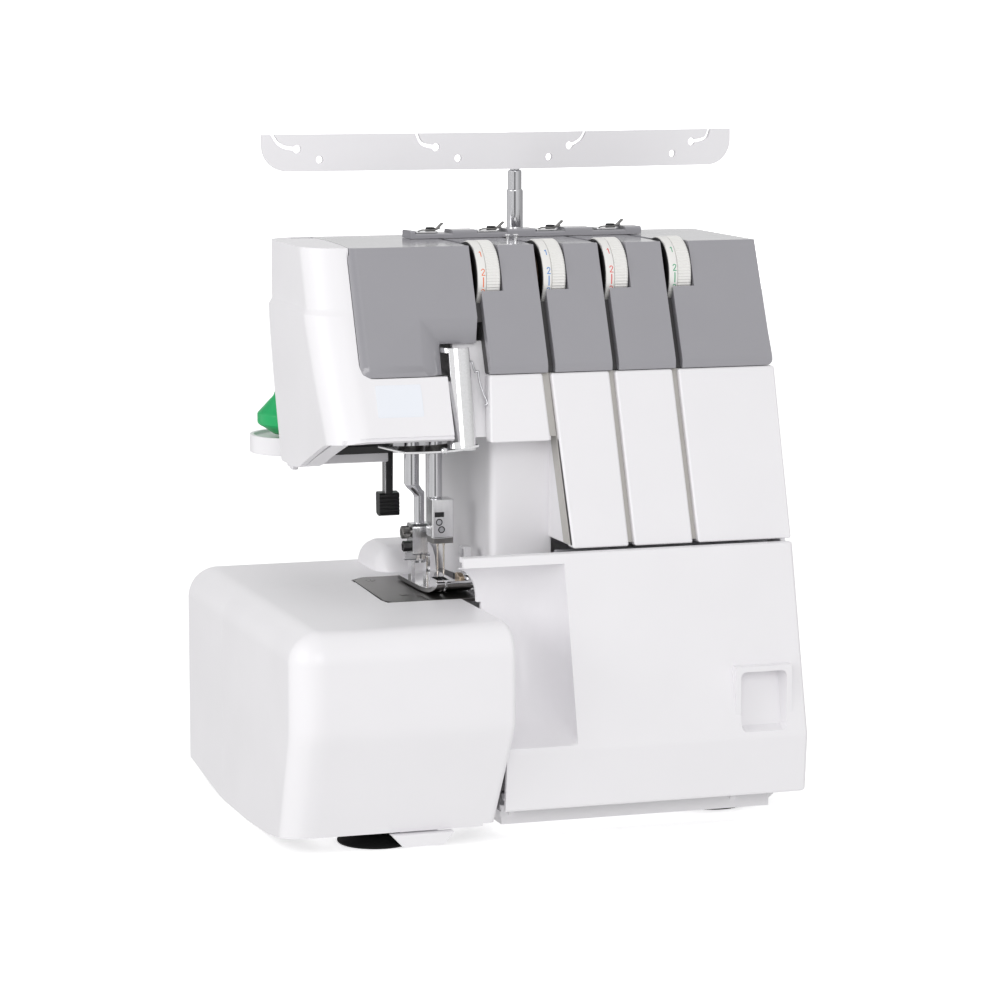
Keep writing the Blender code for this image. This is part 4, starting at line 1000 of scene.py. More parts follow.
def make_foot():
    """The sole with its turned-up toe, its two ears and pin, and the stitch finger beside the needles."""
    centre = smooth_path(
        [(92.3, 123), (94.4, 120.4), (98, 118.6), (102, 117.8), (110, 117.4), (130, 117.3), (153, 117.3)], 8
    )
    half = 1.15
    points = [Vector(p) for p in centre]
    top, under = [], []
    for index, point in enumerate(points):
        ahead = (points[min(index + 1, len(points) - 1)] - points[max(index - 1, 0)]).normalized()
        up = Vector((-ahead.y, ahead.x))
        thick = half * min(1, 0.55 + 0.1 * index)
        top.append(point + up * thick)
        under.append(point - up * thick)
    outline = [tuple(p) for p in under + top[::-1]]
    sole = prism("X", outline, 97.6, 122.6)
    corner_left = prism("Z", ((90, 85), (104, 85), (99, 96.5), (97.6, 112), (96, 118), (90, 118)), 110, 130)
    corner_right = prism(
        "Z", ((120, 85), (130, 85), (130, 160), (121.3, 160), (121.3, 118), (122.9, 108), (122.4, 96)), 110,
        130
    )
    window = block((111.8, 126, 110), (118.6, 139.5, 130))
    toe_slot = block((105.4, 88, 110), (106.6, 104, 130))
    ears = []
    for low in (103.5, 111.9):
        ear = rounded(
            ((147.6, 117.6), (147.6, 130.4), (153.4, 130.4), (153.4, 117.6)), (0, 2.9, 2.9, 0), 10
        )
        ears.append(prism("X", ear, low, low + 2.1))
    piece(
        "foot_sole", sole, CHROME, "presser_foot", ("presser_foot",), joined=ears,
        cuts=(corner_left, corner_right, window, toe_slot), bevel=0.3
    )
    piece(
        "foot_pin", rod("X", FOOT_PIVOT, 0.95, 103.2, 114.3, 28), STEEL, "presser_foot"
    )
    rim = turned("X", FOOT_PIVOT, ((113.9, 0), (113.9, 1.9), (114.5, 1.7), (114.7, 0)), 28)
    piece("foot_pin_head", rim, STEEL, "presser_foot")
    tab = prism(
        "X",
        rounded(
            ((108, 118), (108, 122.8), (112, 124.2), (117, 124.2), (117, 118)), (0, 1.4, 1.4, 1.4, 0), 5
        ),
        118.4, 121.2
    )
    piece("foot_guard", tab, BRONZE, "presser_foot", bevel=0.5)


def make_lifter():
    stem = prism(
        "X", rounded(((177, 201.9), (185, 201.9), (186, 158.5), (178, 157)), (1, 1, 0, 0), 5), 98.7, 102.5
    )
    piece("lifter_stem", stem, BLACK, "foot_lifter", ("foot_lifter",), bevel=0.45)
    knob = prism(
        "X", rounded(((177.2, 146.2), (177.8, 158.8), (185.2, 159.7), (184.6, 147.2)), (2, 1.2, 1.6, 2), 8),
        94.8, 106
    )
    grooves = [
        prism("X", arc((177.1 + 0.04 * (z - 146), z), 0.6, -90, 90, 10), 90, 110)
        for z in (148.4, 150.4, 152.4, 154.4, 156.4)
    ]
    piece("lifter_knob", knob, BLACK, "foot_lifter", cuts=grooves, bevel=0.7, segments=4)
    plate = block((98.15, 178.6, 158), (98.75, 184.2, 200))
    piece("lifter_plate", plate, CHROME, "foot_lifter", bevel=0.15)


def make_bed_details():
    low, high = node_box("needle_plate")
    outline = rounded(
        ((74.4, 158.6), (71.6, 90.8), (74.6, 84.2), (122, 84.2), (122, 166.8), (81.7, 166.8)),
        (1.5, 3, 2.5, 1, 1, 2.5), 6
    )
    cuts = [block((x, 108, 100), (x + 3, 160, 130)) for x in (100.2, 105.6)]
    cuts += [block((111.6, 126, 100), (119, 139, 130)), block((120.4, 110, 100), (130, 127, 130))]
    screws = ((86.7, 104), (82.8, 154.8))
    cuts += [rod("Z", screw, 2.5, high.z - 0.7, high.z + 3, 48) for screw in screws]
    cuts.append(prism("Z", ((92, 83), (94.6, 83), (94.6, 100), (92, 100)), high.z - 0.5, high.z + 2))
    piece(
        "stitch_plate", prism("Z", outline, low.z, high.z), PLATE_STEEL, CASING, ("needle_plate",),
        cuts=cuts, bevel=0.35
    )
    finger = loft([
        [(114.2, 139.4, z), (116.4, 139.4, z), (115.9, 127, z), (115.1, 127, z)]
        for z in (high.z - 1.3, high.z - 0.1)
    ])
    piece("stitch_finger", finger, CHROME, bevel=0.2)
    for number, (screw, angle) in enumerate(zip(screws, (30, 75)), 1):
        head = turned(
            "Z", screw,
            (
                (high.z - 0.6, 0), (high.z - 0.6, 2.3), (high.z - 0.1, 2.3), (high.z + 0.1, 2),
                (high.z + 0.1, 0)
            ),
            40
        )
        piece(
            f"plate_screw_{number}", head, DARK_STEEL,
            cuts=[slot_cut("Z", screw, high.z + 0.1, 2.3, angle, 0.4, 0.6)]
        )
    teeth = []
    for x in (100.7, 106.1):
        outline = [(110, 108)]
        for step in range(26):
            start = 110 + step * 1.8
            outline += [(start + 0.15, 116.1), (start + 1.5, 114.9)]
        outline += [(157, 108)]
        teeth.append(prism("X", outline, x, x + 2))
    carrier = block((100, 100, 101), (109, 166, 108.5))
    piece(
        "feed_teeth", merged([*teeth, carrier]), DARK_STEEL, "feed_dog", ("feed_dog",), bevel=0.1,
        segments=1
    )


# ---- take-up bay
def make_take_up():
    """The polished cover: a bent strip with a flange to its left, standing on the guide plate below."""
    lean = 0.222
    path = smooth_path(
        [
            (103.6, 94.6), (104.2, 92.4), (105.4, 90.6), (107.6, 89), (109.6, 88), (112.4, 87.7),
            (115.4, 87.9), (117.4, 88.8), (118, 91.4)
        ],
        8
    )
    sections = []
    for step in range(9):
        z = 194 + (245.8 - 194) * step / 8
        line = [Vector((x + 0.5 * (245.8 - z) / 51.8, y + lean * (z - 245.8))) for x, y in path]
        outer, inner = [], []
        for index, point in enumerate(line):
            ahead = (line[min(index + 1, len(line) - 1)] - line[max(index - 1, 0)]).normalized()
            outer.append(point)
            inner.append(point + Vector((-ahead.y, ahead.x)) * 0.9)
        sections.append([(p.x, p.y, z) for p in outer + inner[::-1]])
    window = block((100, 70, 229), (106.6, 110, 243.4))
    piece("take_up_strip", loft(sections), CHROME, CASING, ("take_up_cover",), cuts=(window,), sharp=60)
    bend = smooth_path([(70, 194.4), (80, 193.4), (94, 193.2), (107, 193.6), (118.9, 195.6)], 6)
    plate = prism("Y", bend + [(x, z + 1.3) for x, z in reversed(bend)], 75.6, 100)
    trim = prism("Z", ((60, 60), (84, 60), (70, 104), (60, 104)), 180, 200)
    piece("guide_plate", plate, CHROME, cuts=(trim,), bevel=0.4)
    bead = turned("Y", (99.6, 194.6), ((73.4, 0), (73.4, 1), (74, 1.6), (76.4, 1.6), (77, 1), (77, 0)), 28)
    piece("guide_bead", bead, CHROME)
    hook = smooth_path(
        [
            (116, 98, 240), (117.4, 91, 239.4), (118.7, 88, 238.4), (119.4, 87.4, 235.6),
            (120.4, 87.2, 233.4), (121.8, 87, 233.6), (122.2, 86.6, 230), (122.8, 86, 226.5),
            (124.2, 85, 221.8), (125.6, 84, 218), (125.4, 83.8, 216.6), (124.2, 84, 216.4)
        ],
        8
    )
    piece("take_up_hook", tube_along(hook, 0.6, 12), STEEL)
    lever = rounded(
        ((100, 224), (126, 226), (126, 233), (112, WHITE_TOP), (100, 230)), (2.2, 3, 3, 4, 2.2), 8
    )
    piece(
        "take_up_arm", prism("X", lever, 111, 112.8), CHROME, "take_up_lever", ("take_up_lever",),
        cuts=[rod("X", (103, 227.2), 1.1, 100, 120, 24)], bevel=0.3
    )
    label = prism("Y", rounded(corners(65.2, 212.4, 89.6, 228.4), 0.8, 5), -0.12, 0.05)
    for vert in label.verts:
        vert.co.y += front_y(vert.co.z) - 0.02
    piece("needle_label", label, BLANK)
    outline = (
        (front_y(200) + 9.5, 200), (front_y(248) + 9.5, 248), (front_y(248) + 12.5, 248),
        (front_y(200) + 12.5, 200)
    )
    piece("bay_wall", prism("X", outline, 112, 128.6), WHITE, bevel=0.3)
    latch = merged(
        [block((44.8, 172, 175.4), (47.4, 184, 179.6)), block((45.4, 174.6, 174.2), (48.6, 181, 181.6))]
    )
    piece("head_latch", latch, WHITE, bevel=0.6)


def make_head_underside():
    """What shows inside the head from below: floor plate, baffle, back wall, lamp and the bars' bosses; the
    black baffle and the black sheet before the back wall are painted shade of the dark interior.
    """
    piece(
        "head_floor", block((60, 84, 203.4), (119.6, 127.4, 205)), DARK_STEEL,
        bevel=0.3
    )
    # A black baffle: painted shade of the head's interior.
    painted_shade_baffle = prism("X", ((128, 196.4), (163.6, 186.4), (163.6, 188), (128, 198)), 62, 96)
    piece("head_baffle_painted_shade", painted_shade_baffle, BLACK, bevel=0.3)
    piece("head_back_wall", block((56, 164.6, 178), (96, 167.6, 206)), WHITE, bevel=0.6)
    # A black sheet just before the white back wall: painted shade of the head's interior.
    piece("head_painted_shade", block((56, 162, 183), (96, 164.2, 206)), BLACK, bevel=0.3)
    sleeve = turned("Z", PRESSER_BAR, ((197, 4.1), (197, 6.4), (206.4, 6.4), (206.4, 4.1)), 40)
    ring = turned("Z", NEEDLE_BAR, ((198.6, 3.75), (198.6, 5.4), (206.4, 5.4), (206.4, 3.75)), 40)
    piece("bar_bushings", merged([sleeve, ring]), DARK_STEEL, bevel=0.3)
    lamp = turned("Z", (84, 112), ((199.4, 0), (199.4, 6), (200.6, 7.4), (203.6, 7.4), (203.6, 0)), 40)
    piece("lamp_cover", lamp, BLANK)


# ---- dials
STROKES = {
    1: [[(0.25, 0.8), (0.5, 1), (0.5, 0)]],
    2: [
        [(0.1, 0.78), (0.2, 0.93), (0.42, 1), (0.66, 0.92), (0.74, 0.74), (0.64, 0.54), (0.1, 0), (0.78, 0)]
    ],
    3: [
        [
            (0.12, 0.85), (0.3, 0.99), (0.55, 0.97), (0.7, 0.8), (0.62, 0.6), (0.38, 0.53), (0.66, 0.45),
            (0.76, 0.26), (0.62, 0.05), (0.34, 0), (0.1, 0.14)
        ]
    ],
    4: [[(0.58, 0), (0.58, 1), (0.06, 0.3), (0.84, 0.3)]],
    5: [
        [
            (0.7, 1), (0.2, 1), (0.14, 0.55), (0.4, 0.63), (0.66, 0.54), (0.76, 0.3), (0.6, 0.05),
            (0.32, 0), (0.1, 0.12)
        ]
    ],
    6: [
        [
            (0.66, 0.9), (0.44, 1), (0.2, 0.85), (0.12, 0.45), (0.2, 0.1), (0.44, 0), (0.68, 0.12),
            (0.74, 0.34), (0.6, 0.55), (0.36, 0.58), (0.16, 0.42)
        ]
    ],
    7: [[(0.1, 1), (0.76, 1), (0.36, 0)]],
    8: [
        [
            (0.42, 0.53), (0.2, 0.64), (0.16, 0.82), (0.28, 0.97), (0.42, 1), (0.58, 0.96), (0.68, 0.8),
            (0.62, 0.62), (0.42, 0.53), (0.18, 0.42), (0.1, 0.22), (0.22, 0.04), (0.42, 0), (0.64, 0.05),
            (0.76, 0.22), (0.66, 0.42), (0.42, 0.53)
        ]
    ],
    9: [
        [
            (0.7, 0.6), (0.5, 0.43), (0.26, 0.46), (0.12, 0.66), (0.2, 0.9), (0.42, 1), (0.64, 0.92),
            (0.74, 0.7), (0.7, 0.35), (0.54, 0.08), (0.3, 0)
        ]
    ],
}


def wrapped(points, radius, centre):
    """Points (x, arc length, height over the drum) placed on a drum whose axis is along x."""
    found = []
    for x, length, height in points:
        angle = length / radius
        found.append(
            Vector(
                (
                    x, centre[0] - (radius + height) * math.cos(angle),
                    centre[1] + (radius + height) * math.sin(angle)
                )
            )
        )
    return found


def stroke_mesh(lines, width, radius, centre, height=0.035):
    """Thin raised strokes on a drum; each line holds (x, arc length) points."""
    made = bmesh.new()
    for line in lines:
        dense = []
        for a, b in zip(line, line[1:]):
            a, b = Vector(a), Vector(b)
            count = max(2, int((b - a).length / 0.35))
            dense += [a + (b - a) * s / count for s in range(count)]
        dense.append(Vector(line[-1]))
        rails = []
        for index, point in enumerate(dense):
            ahead = dense[min(index + 1, len(dense) - 1)] - dense[max(index - 1, 0)]
            ahead = ahead.normalized() if ahead.length > 0 else Vector((1, 0))
            side = Vector((-ahead.y, ahead.x)) * width / 2
            if index == 0:
                point = point - ahead * width / 2
            if index == len(dense) - 1:
                point = point + ahead * width / 2
            ring = [
                (point + side, -0.05), (point + side, height), (point - side, height), (point - side, -0.05)
            ]
            rails.append(
                [made.verts.new(v) for v in wrapped([(p.x, p.y, h) for p, h in ring], radius, centre)]
            )
        made.faces.new(rails[0])
        made.faces.new(rails[-1])
        for low, high in zip(rails, rails[1:]):
            for s in range(4):
                made.faces.new((low[s], low[(s + 1) % 4], high[(s + 1) % 4], high[s]))
    bmesh.ops.recalc_face_normals(made, faces=made.faces)
    return made


def make_dials():
    centre = DIAL_AXIS
    for number in range(1, 5):
        low, high = node_box(f"tension_dial_{number}")
        left, right = low.x, high.x
        band = left + 4.8
        ridged = [
            (band, 18.9), (band + 0.25, 19.75, 1), (right - 0.9, 19.75, 1), (right - 0.2, 19.2, 1),
            (right, 18.4)
        ]
        profile = [
            (left, 3.2), (left, 18.8), (left + 0.35, 19.6), (left + 0.9, DIAL_RADIUS),
            (band - 0.3, DIAL_RADIUS), *ridged, (right, 16.8), (right - 0.5, 16.4), (right - 0.5, 6.2),
            (right, 5.8), (right, 3.2)
        ]
        shape = turned("X", centre, profile, 480, lambda a: 0.2 * max(-0.6, math.cos(80 * a)))
        body = f"tension_dial_{number}"
        piece(f"dial_{number}", shape, DIAL, body, (f"tension_dial_{number}",), sharp=30)
        digits = []
        for digit in range(1, 10):
            middle = math.radians(44 - 30.6 * (digit - 1)) * DIAL_RADIUS
            size = 3.3
            for line in STROKES[digit]:
                digits.append(
                    [(left + 3.1 + (u - 0.45) * size * 0.74, middle + (v - 0.5) * size) for u, v in line]
                )
        piece(
            f"dial_{number}_digits", stroke_mesh(digits, 0.42, DIAL_RADIUS, centre), INKS[number], body,
            sharp=60
        )
        marks = []
        for digit in range(2, 9):
            middle = math.radians(44 - 30.6 * (digit - 0.5)) * DIAL_RADIUS
            marks.append([(left + 3.1, middle - 2.4), (left + 3.1, middle + 2.4)])
        piece(
            f"dial_{number}_marks", stroke_mesh(marks, 0.55, DIAL_RADIUS, centre), INKS[number], body,
            sharp=60
        )
        plate = turned(
            "X", centre,
            (
                (left - 0.5, 3), (left - 0.5, 18.9), (left - 0.3, 19.2), (left - 0.06, 19.2),
                (left - 0.06, 3)
            ),
            96
        )
        piece(f"dial_{number}_plate", plate, BLACK, body)
        disc = turned(
            "X", centre,
            (
                (left - 2.6, 3), (left - 2.6, 14), (left - 2.1, 15.4), (left - 1.6, 15.8),
                (left - 1.1, 15.4), (left - 0.7, 14), (left - 0.7, 3)
            ),
            64
        )
        piece(f"tension_disc_{number}", disc, BRONZE)
    shaft = rod("X", centre, 2.6, 122, 252, 40)
    piece("tension_rod", shaft, STEEL, CASING, ("tension_shaft",))


# ---- top guides
def make_top_guides():
    """The raised strip on the head: gray blocks, and between them each thread's plate, screw and springs."""
    low, high = node_box("guide_strip")
    rail = [
        prism(
            "X", rounded(((165.2, 297.2), (165.2, 299.8), (180.8, 299.8), (180.8, 297.2)), (0, 1, 1, 0), 6),
            low.x, high.x
        )
    ]
    raised = rounded(((165.2, 297.3), (165.2, 301.4), (180.8, 301.4), (180.8, 297.3)), (0, 1.4, 1.4, 0), 6)
    blocks = [
        prism("X", raised, left, right)
        for left, right in ((low.x, 111.6), (132.6, 146.4), (163.4, 179.4), (196.4, 211.8), (231, high.x))
    ]
    piece("guide_rail", rail[0], GRAY, CASING, ("guide_strip",), joined=blocks, bevel=0.5)
    for number, x in enumerate(CLIP_XS, 1):
        plate = prism("Z", rounded(corners(x - 9.4, 167.6, x + 3.4, 178), (1, 2, 2, 1), 4), 299.9, 300.8)
        piece(f"clip_{number}", plate, CHROME, CASING, (f"thread_clip_{number}",), bevel=0.2)
        head = turned("Z", (x, 172), ((300.7, 0), (300.7, 2.6), (302.4, 2.6), (302.8, 2.2), (302.8, 0)), 32)
        piece(
            f"clip_{number}_screw", head, BLACK,
            cuts=[slot_cut("Z", (x, 172), 302.8, 2.6, 20, 0.5, 0.6)]
        )
        spring = [(x - 1, 300.9), (x + 1.5, 301), (x + 3.6, 302.2), (x + 5.4, 303.8), (x + 6.6, 304.9)]
        arm = ribbon(smooth_path(spring, 6), 0.45, 168.4, 172.6, "Y")
        piece(f"clip_{number}_arm", arm, DARK_STEEL, sharp=50)
        lower = ribbon(
            smooth_path([(x + 0.5, 300.9), (x + 4, 300.9), (x + 7, 302)], 6), 0.4, 174, 177.4, "Y"
        )
        piece(f"clip_{number}_leaf", lower, CHROME, sharp=50)
        loop = [(x - 8, 168, 301), (x - 6, 166.4, 301.8), (x - 1, 166, 301.6), (x + 3.6, 166.4, 302.6)]
        piece(
            f"clip_{number}_wire", tube_along(smooth_path(loop, 6), 0.4, 10), DARK_STEEL,
        )
    posts = [
        turned(
            "Z", (x, 118),
            ((296.4, 0), (296.4, 0.9), (300.4, 0.9), (301.2, 1.5), (301.7, 1.5), (302, 0.9), (302, 0)), 24
        )
        for x in (148, 152.4)
    ]
    piece("guide_posts", merged(posts), CHROME)


# ---- thread stand and guide
def make_stand():
    y = STAND_Y
    left, right = 70, 275
    ends = arc((left, y + 3), 27, 90, 270, 32) + arc((right, y + 3), 27, -90, 90, 32)
    inset = arc((left, y + 3), 24.4, 90, 270, 32) + arc((right, y + 3), 24.4, -90, 90, 32)
    neck = prism("Z", rounded(corners(148, 203.4, 218, 236), 3, 6), 166, 176)
    collar = turned("Z", STAND_ROD, ((160, 0), (160, 8), (186.6, 8), (188, 6.6), (188, 0)), 48)
    cuts = [rod("Z", STAND_ROD, 4.75, 150, 200, 40), prism("Z", inset, 182.2, 190)]
    piece(
        "stand_tray", prism("Z", ends, 174, 184), WHITE, CASING, ("spool_stand",), joined=(neck, collar),
        cuts=cuts, bevel=0.9, segments=4
    )
    pins = []
    for x in PIN_XS:
        pins.append(
            turned(
                "Z", (x, y), ((181.6, 0), (181.6, 4), (224, 3.2), (226.4, 2.2), (227.5, 1), (227.5, 0)), 32
            )
        )
    # The pins take the darker white: painted shade.
    piece("stand_pins", merged(pins), WHITE_PAINTED_SHADE)
    for number, x in enumerate(PIN_XS, 1):
        profile = [
            (184.5, 4.4), (184.5, 12.6), (186.4, 15.4), (188.4, 18.2), (189.4, 20.2), (190.4, 21.2),
            (191.4, 21.4), (195.4, 21.4), (196.2, 21.2), (197, 20.4), (205.6, 12.4), (215.6, 8.6),
            (217.4, 7.8), (218, 6.8), (218, 4.4)
        ]
        ribs = []
        for turn in range(6):
            angle = math.radians(60 * turn + 20)
            rib = loft(
                [
                    [
                        (
                            x + r * math.cos(angle) - w * math.sin(angle),
                            y + r * math.sin(angle) + w * math.cos(angle), z
                        )
                        for r, w in (
                            (reach - 1.5, -0.6), (reach + 0.6, -0.6), (reach + 0.6, 0.6), (reach - 1.5, 0.6)
                        )
                    ]
                    for z, reach in ((206, 12), (214, 9))
                ]
            )
            ribs.append(rib)
        piece(
            f"cone_{number}", turned("Z", (x, y), profile, 64), GREEN, f"spool_cone_{number}",
            (f"spool_cone_{number}",), joined=ribs, bevel=0.2, segments=2
        )


def make_rods():
    centre = STAND_ROD
    for node, body, outer, inner in (
        ("rod_lower", CASING, 4.6, 3.95), ("rod_middle", "rod_middle", 3.85, 3)
    ):
        low, high = node_box(node)
        profile = (
            (low.z, inner), (low.z, outer), (high.z - 0.8, outer), (high.z - 0.1, outer - 0.4),
            (high.z, inner + 0.1), (high.z, inner)
        )
        piece(f"{node}_tube", turned("Z", centre, profile, 48), ROD_CHROME, body, (node,))
    low, high = node_box("rod_upper")
    piece(
        "rod_upper_pin", rod("Z", centre, 2.6, low.z, high.z, 40), ROD_CHROME, "rod_upper", ("rod_upper",),
        bevel=0.4
    )


def wing_y(x):
    """The front of the swept guide bar at a place along it."""
    middle, front = 183, 204
    if x < middle - 8:
        return front + 9 * (middle - 8 - x) / (middle - 8 - 40)
    if x > middle + 8:
        return front + 13 * (x - middle - 8) / (312 - middle - 8)
    return front


def make_guide():
    low, high = node_box("thread_guide")
    bottom, top = low.z, high.z
    left, right = low.x, high.x
    plan = [(left, wing_y(left)), (175, 204), (191, 204), (right, wing_y(right))]
    back = [(x, y + 3) for x, y in reversed(plan)]
    cuts = []
    for end, turn in ((left, 1), (right, -1)):
        curve = arc((end + turn * 14, bottom + 14), 14, -90, -90 - turn * 90, 18)
        cuts.append(
            prism(
                "Y",
                [
                    (end - turn * 5, bottom - 5), (end + turn * 14, bottom - 5), *curve,
                    (end - turn * 5, bottom + 14)
                ],
                190, 235
            )
        )
    for x, z in ((59.3, 343.6), (136.2, 343.8), (213, 343.8), (288, 344.6)):
        cuts.append(rod("Y", (x, z), 2.2, 190, 235, 36))
    for x, z in ((71.6, 337.8), (148.5, 337.7), (200.6, 337.8), (276.1, 338.2)):
        cuts.append(rod("Y", (x, z), 2, 190, 235, 36))
    slits = (
        ((59.3, 343.6), (53, 344.6), (48.6, 347.2), (44.4, 354)),
        ((136.2, 343.8), (129.6, 345.2), (126.8, 348), (124.6, 354)),
        ((213, 343.8), (216.2, 345), (220.2, 347.8), (223.6, 354)),
        ((288, 344.6), (295.6, 346), (298, 348.8), (299.4, 354)),
    )
    for slit in slits:
        middle = smooth_path(slit, 6)
        points = [Vector(p) for p in middle]
        sides = ([], [])
        for index, point in enumerate(points):
            ahead = (points[min(index + 1, len(points) - 1)] - points[max(index - 1, 0)]).normalized()
            across = Vector((-ahead.y, ahead.x)) * 0.85
            sides[0].append(tuple(point + across))
            sides[1].append(tuple(point - across))
        cuts.append(prism("Y", sides[0] + sides[1][::-1], 190, 235))
    piece(
        "guide_wing", prism("Z", plan + back, bottom, top), WHITE, "thread_guide", ("thread_guide",),
        cuts=cuts, bevel=0.8, segments=4
    )
    profile = (
        (top - 3.6, 0), (top - 3.6, 2.75), (bottom + 0.3, 2.75), (bottom + 0.3, 5.6), (bottom + 1, 6.4),
        (top - 1.6, 6.4), (top - 0.5, 5.4), (top - 0.3, 4), (top - 0.3, 0)
    )
    boss = turned("Z", STAND_ROD, profile, 56)
    web = block((176.9, 204.8, bottom + 0.8), (189.1, 211, top - 0.8))
    piece("guide_boss", boss, WHITE, "thread_guide")
    piece("guide_web", web, WHITE, "thread_guide", cuts=[rod("Z", STAND_ROD, 5.6, 300, 360, 40)], bevel=0.6)


# ---- right side
def make_right_side():
    centre = MAIN_SHAFT
    profile = [
        (289, 0), (289, 26), (290.4, 28.2), (292.6, 29.2), (294.4, 29.5, 1), (303, 29.5, 1), (305, 28.4),
        (306.4, 26.8), (307, 24.6), (306.6, 22.6), (304.2, 21.2), (302.8, 19), (302.4, 9), (302.9, 7),
        (304, 6), (304, 0)
    ]
    wheel = turned("X", centre, profile, 360, lambda a: 0.5 * max(-0.3, math.cos(36 * a)))
    piece("handwheel_rim", wheel, WHITE, "drive", ("handwheel",), sharp=34)
    cap = turned("X", centre, ((303.2, 0), (303.2, 5), (304.6, 4.6), (305, 3.6), (305, 0)), 40)
    piece("handwheel_cap", cap, GRAY, "drive")
    stitch = STITCH_DIAL
    profile = [
        (286.5, 0), (286.5, 13.4), (287.3, 13.9), (288, 13.6, 1), (294.6, 13.1, 1), (295.6, 12.3),
        (296, 11.2), (296, 0)
    ]
    knob = turned("X", stitch, profile, 240, lambda a: 0.3 * max(-0.5, math.cos(30 * a)))
    piece(
        "stitch_knob", knob, GRAY, "stitch_dial", ("stitch_dial",),
        cuts=[block((295.5, 107.3, 77), (299, 108.7, 85))], sharp=34
    )
    socket_outline = rounded(corners(176.5, 36.5, 203.5, 55.5), 2, 6)
    mouth = rounded(corners(179, 39, 201, 53), (4, 1.2, 1.2, 4), 6)
    piece(
        "inlet_frame", prism("X", socket_outline, 274, 288), BLACK, CASING, ("inlet_socket",),
        cuts=[prism("X", mouth, 278, 300)], bevel=0.5
    )
    pins = [block((277.6, y - 0.9, 44), (285.5, y + 0.9, 48.4)) for y in (185.6, 190, 194.4)]
    piece("inlet_pins", merged(pins), STEEL, bevel=0.25)
    rocker = rounded(
        ((276.2, 38.4), (276.2, 53.6), (286.6, 53.6), (288, 47.6), (290.6, 39.8), (286.6, 38.4)),
        (0, 0, 0.8, 8, 0.8, 0.8), 6
    )
    piece(
        "switch_rocker", prism("Y", rocker, 146.4, 165.6), BLACK, "power_switch", ("power_switch",),
        bevel=0.5
    )
    ring = prism("X", rounded(corners(144.6, 36.4, 167.4, 55.6), 2, 6), 285.7, 286.8)
    hole = prism("X", rounded(corners(146, 37.9, 166, 54.1), 1, 4), 280, 290)
    piece("switch_frame", ring, BLACK, cuts=[hole], bevel=0.3)


def make_small_parts():
    for name, (x, y) in FEET.items():
        profile = [
            (1.6, 0), (1, 13), (0, 15), (0, 19), (0.5, 19.5), (1.2, 19.6), (1.9, 18.8), (2.9, 16.4),
            (3.9, 13.4), (4.9, 10.4), (5.6, 8.8), (6.4, 8.1), (8.4, 8), (8.5, 4), (12.6, 4), (12.6, 0)
        ]
        piece(f"{name}_cup", turned("Z", (x, y), profile, 64), RUBBER, CASING, (name,), sharp=50)


def dress_kept():
    for node in ("base_tray", "belt_cover"):
        dress(node, WHITE, 0.5)
    dress("inner_panel", GRAY_DARK, 0.4)
    dress("main_frame", CAST, 0.6)
    dress("main_shaft", STEEL, 0.3)
    dress("motor", BLACK, 0.5)
    dress("motor_pulley", BLACK, 0.2)
    dress("drive_belt", RUBBER, 0.2)
    for node in ("upper_looper", "lower_looper", "upper_knife", "lower_knife"):
        dress(node, CHROME, 0.25)
    dress("cover_hinge_rod", STEEL, 0.2)


# ---- stage, light and camera
def glowing(made, strength):
    """Lets a stage surface read as pure white without lighting the machine."""
    shader = made.node_tree.nodes["Principled BSDF"]
    shader.inputs["Emission Color"].default_value = (1, 1, 1, 1)
    shader.inputs["Emission Strength"].default_value = strength
    made.cycles.emission_sampling = "NONE"
    return made


def stage_sheet(name, corners, strength):
    mesh = bpy.data.meshes.new(name)
    mesh.from_pydata(corners, [], [(0, 1, 2, 3)])
    sheet = bpy.data.objects.new(name, mesh)
    bpy.context.scene.collection.objects.link(sheet)
    paper = plastic(name + "_paper", (0.93, 0.93, 0.93), 0.6, grain=0.02, mottle=0.003)
    sheet.data.materials.append(glowing(paper, strength))
    sheet.visible_diffuse = False
    sheet.visible_glossy = False
    sheet.visible_shadow = False
    return sheet


def make_stage():
    reach, back, top = 6, 3, 5
    stage_sheet(
        "floor", [(-reach, -reach, 0), (reach, -reach, 0), (reach, back, 0), (-reach, back, 0)], 0.5
    )
    stage_sheet(
        "backdrop", [(-reach, back, -0.5), (reach, back, -0.5), (reach, back, top), (-reach, back, top)],
        1.2
    )


def area_light(name, place, target, size, power, tint=(1, 1, 1)):
    data = bpy.data.lights.new(name, "AREA")
    data.shape = "RECTANGLE"
    data.size, data.size_y = size
    data.energy = power
    data.color = tint
    light = bpy.data.objects.new(name, data)
    bpy.context.scene.collection.objects.link(light)
    light.location = place
    aim = Vector(target) - Vector(place)
    light.rotation_euler = aim.to_track_quat("-Z", "Y").to_euler()


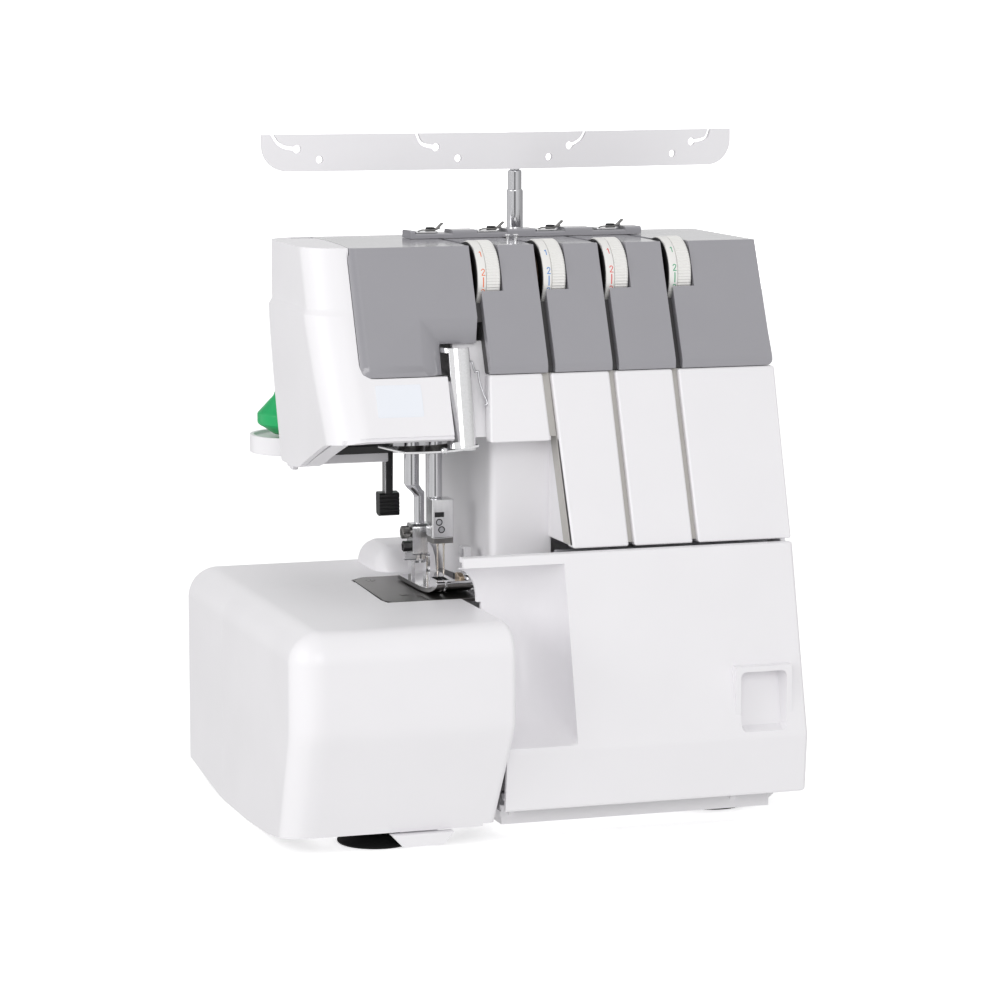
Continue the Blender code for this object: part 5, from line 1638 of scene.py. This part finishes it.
def make_light():
    """A soft room whose middle, seen past the camera, is darker so that plated parts show contrast.

    It is brighter towards the table, which throws light back up."""
    world = bpy.context.scene.world or bpy.data.worlds.new("studio")
    bpy.context.scene.world = world
    world.use_nodes = True
    nodes, links = world.node_tree.nodes, world.node_tree.links
    sky = nodes["Background"]
    place = nodes.new("ShaderNodeTexCoord")
    parts = nodes.new("ShaderNodeSeparateXYZ")
    links.new(place.outputs["Generated"], parts.inputs["Vector"])
    span = nodes.new("ShaderNodeMapRange")
    span.inputs["From Min"].default_value = -1
    span.inputs["From Max"].default_value = 1
    links.new(parts.outputs["X"], span.inputs["Value"])
    ramp = nodes.new("ShaderNodeValToRGB")
    stops = ((0, 0.8), (0.2, 0.95), (0.3, 0.22), (0.4, 0.22), (0.5, 0.9), (0.72, 0.85), (1, 0.5))
    while len(ramp.color_ramp.elements) < len(stops):
        ramp.color_ramp.elements.new(0.5)
    for element, (position, level) in zip(ramp.color_ramp.elements, stops):
        element.position = position
        element.color = (level, level, level, 1)
    links.new(span.outputs["Result"], ramp.inputs["Fac"])
    links.new(ramp.outputs["Color"], sky.inputs["Color"])
    strength = None
    for toward, share in ((-1, 0.34), (1, 0.12)):
        height = nodes.new("ShaderNodeMapRange")
        height.inputs["From Max"].default_value = toward
        height.inputs["To Max"].default_value = share
        links.new(parts.outputs["Z"], height.inputs["Value"])
        total = nodes.new("ShaderNodeMath")
        total.inputs[1].default_value = 0.95
        links.new(height.outputs["Result"], total.inputs[0])
        if strength:
            links.new(strength.outputs["Value"], total.inputs[1])
        strength = total
    links.new(strength.outputs["Value"], sky.inputs["Strength"])
    area_light("key", (-0.5, -2, 0.9), (0, 0, 0.17), (1.2, 1), 11.5)
    area_light("side", (-2, -0.5, 0.8), (0, 0, 0.17), (1.2, 1), 10.5)


def make_camera():
    heading, drop = math.radians(17.97), math.radians(8.07)
    back = Vector(
        (-math.sin(heading) * math.cos(drop), -math.cos(heading) * math.cos(drop), math.sin(drop))
    )
    right = Vector((math.cos(heading), -math.sin(heading), 0))
    up = back.cross(right)
    data = bpy.data.cameras.new("view")
    data.sensor_width = 36
    data.lens = 132.6
    data.shift_x = 0.00571
    data.shift_y = 0.00285
    camera = bpy.data.objects.new("view", data)
    bpy.context.scene.collection.objects.link(camera)
    turn = Matrix((right, up, back)).transposed().to_4x4()
    camera.matrix_world = Matrix.Translation(ORIGIN + Vector((-455, -1718.5, 433.7)) * MM) @ turn
    bpy.context.scene.camera = camera
    bpy.context.scene.view_settings.view_transform = "Standard"


make_arm()
make_cover()
make_head_end()
make_rear()
make_gray()
make_uprights()
make_column()
make_needle_parts()
make_presser_parts()
make_lifter()
make_bed_details()
make_take_up()
make_head_underside()
make_dials()
make_top_guides()
make_stand()
make_rods()
make_guide()
make_right_side()
make_small_parts()
dress_kept()
make_stage()
make_light()
make_camera()
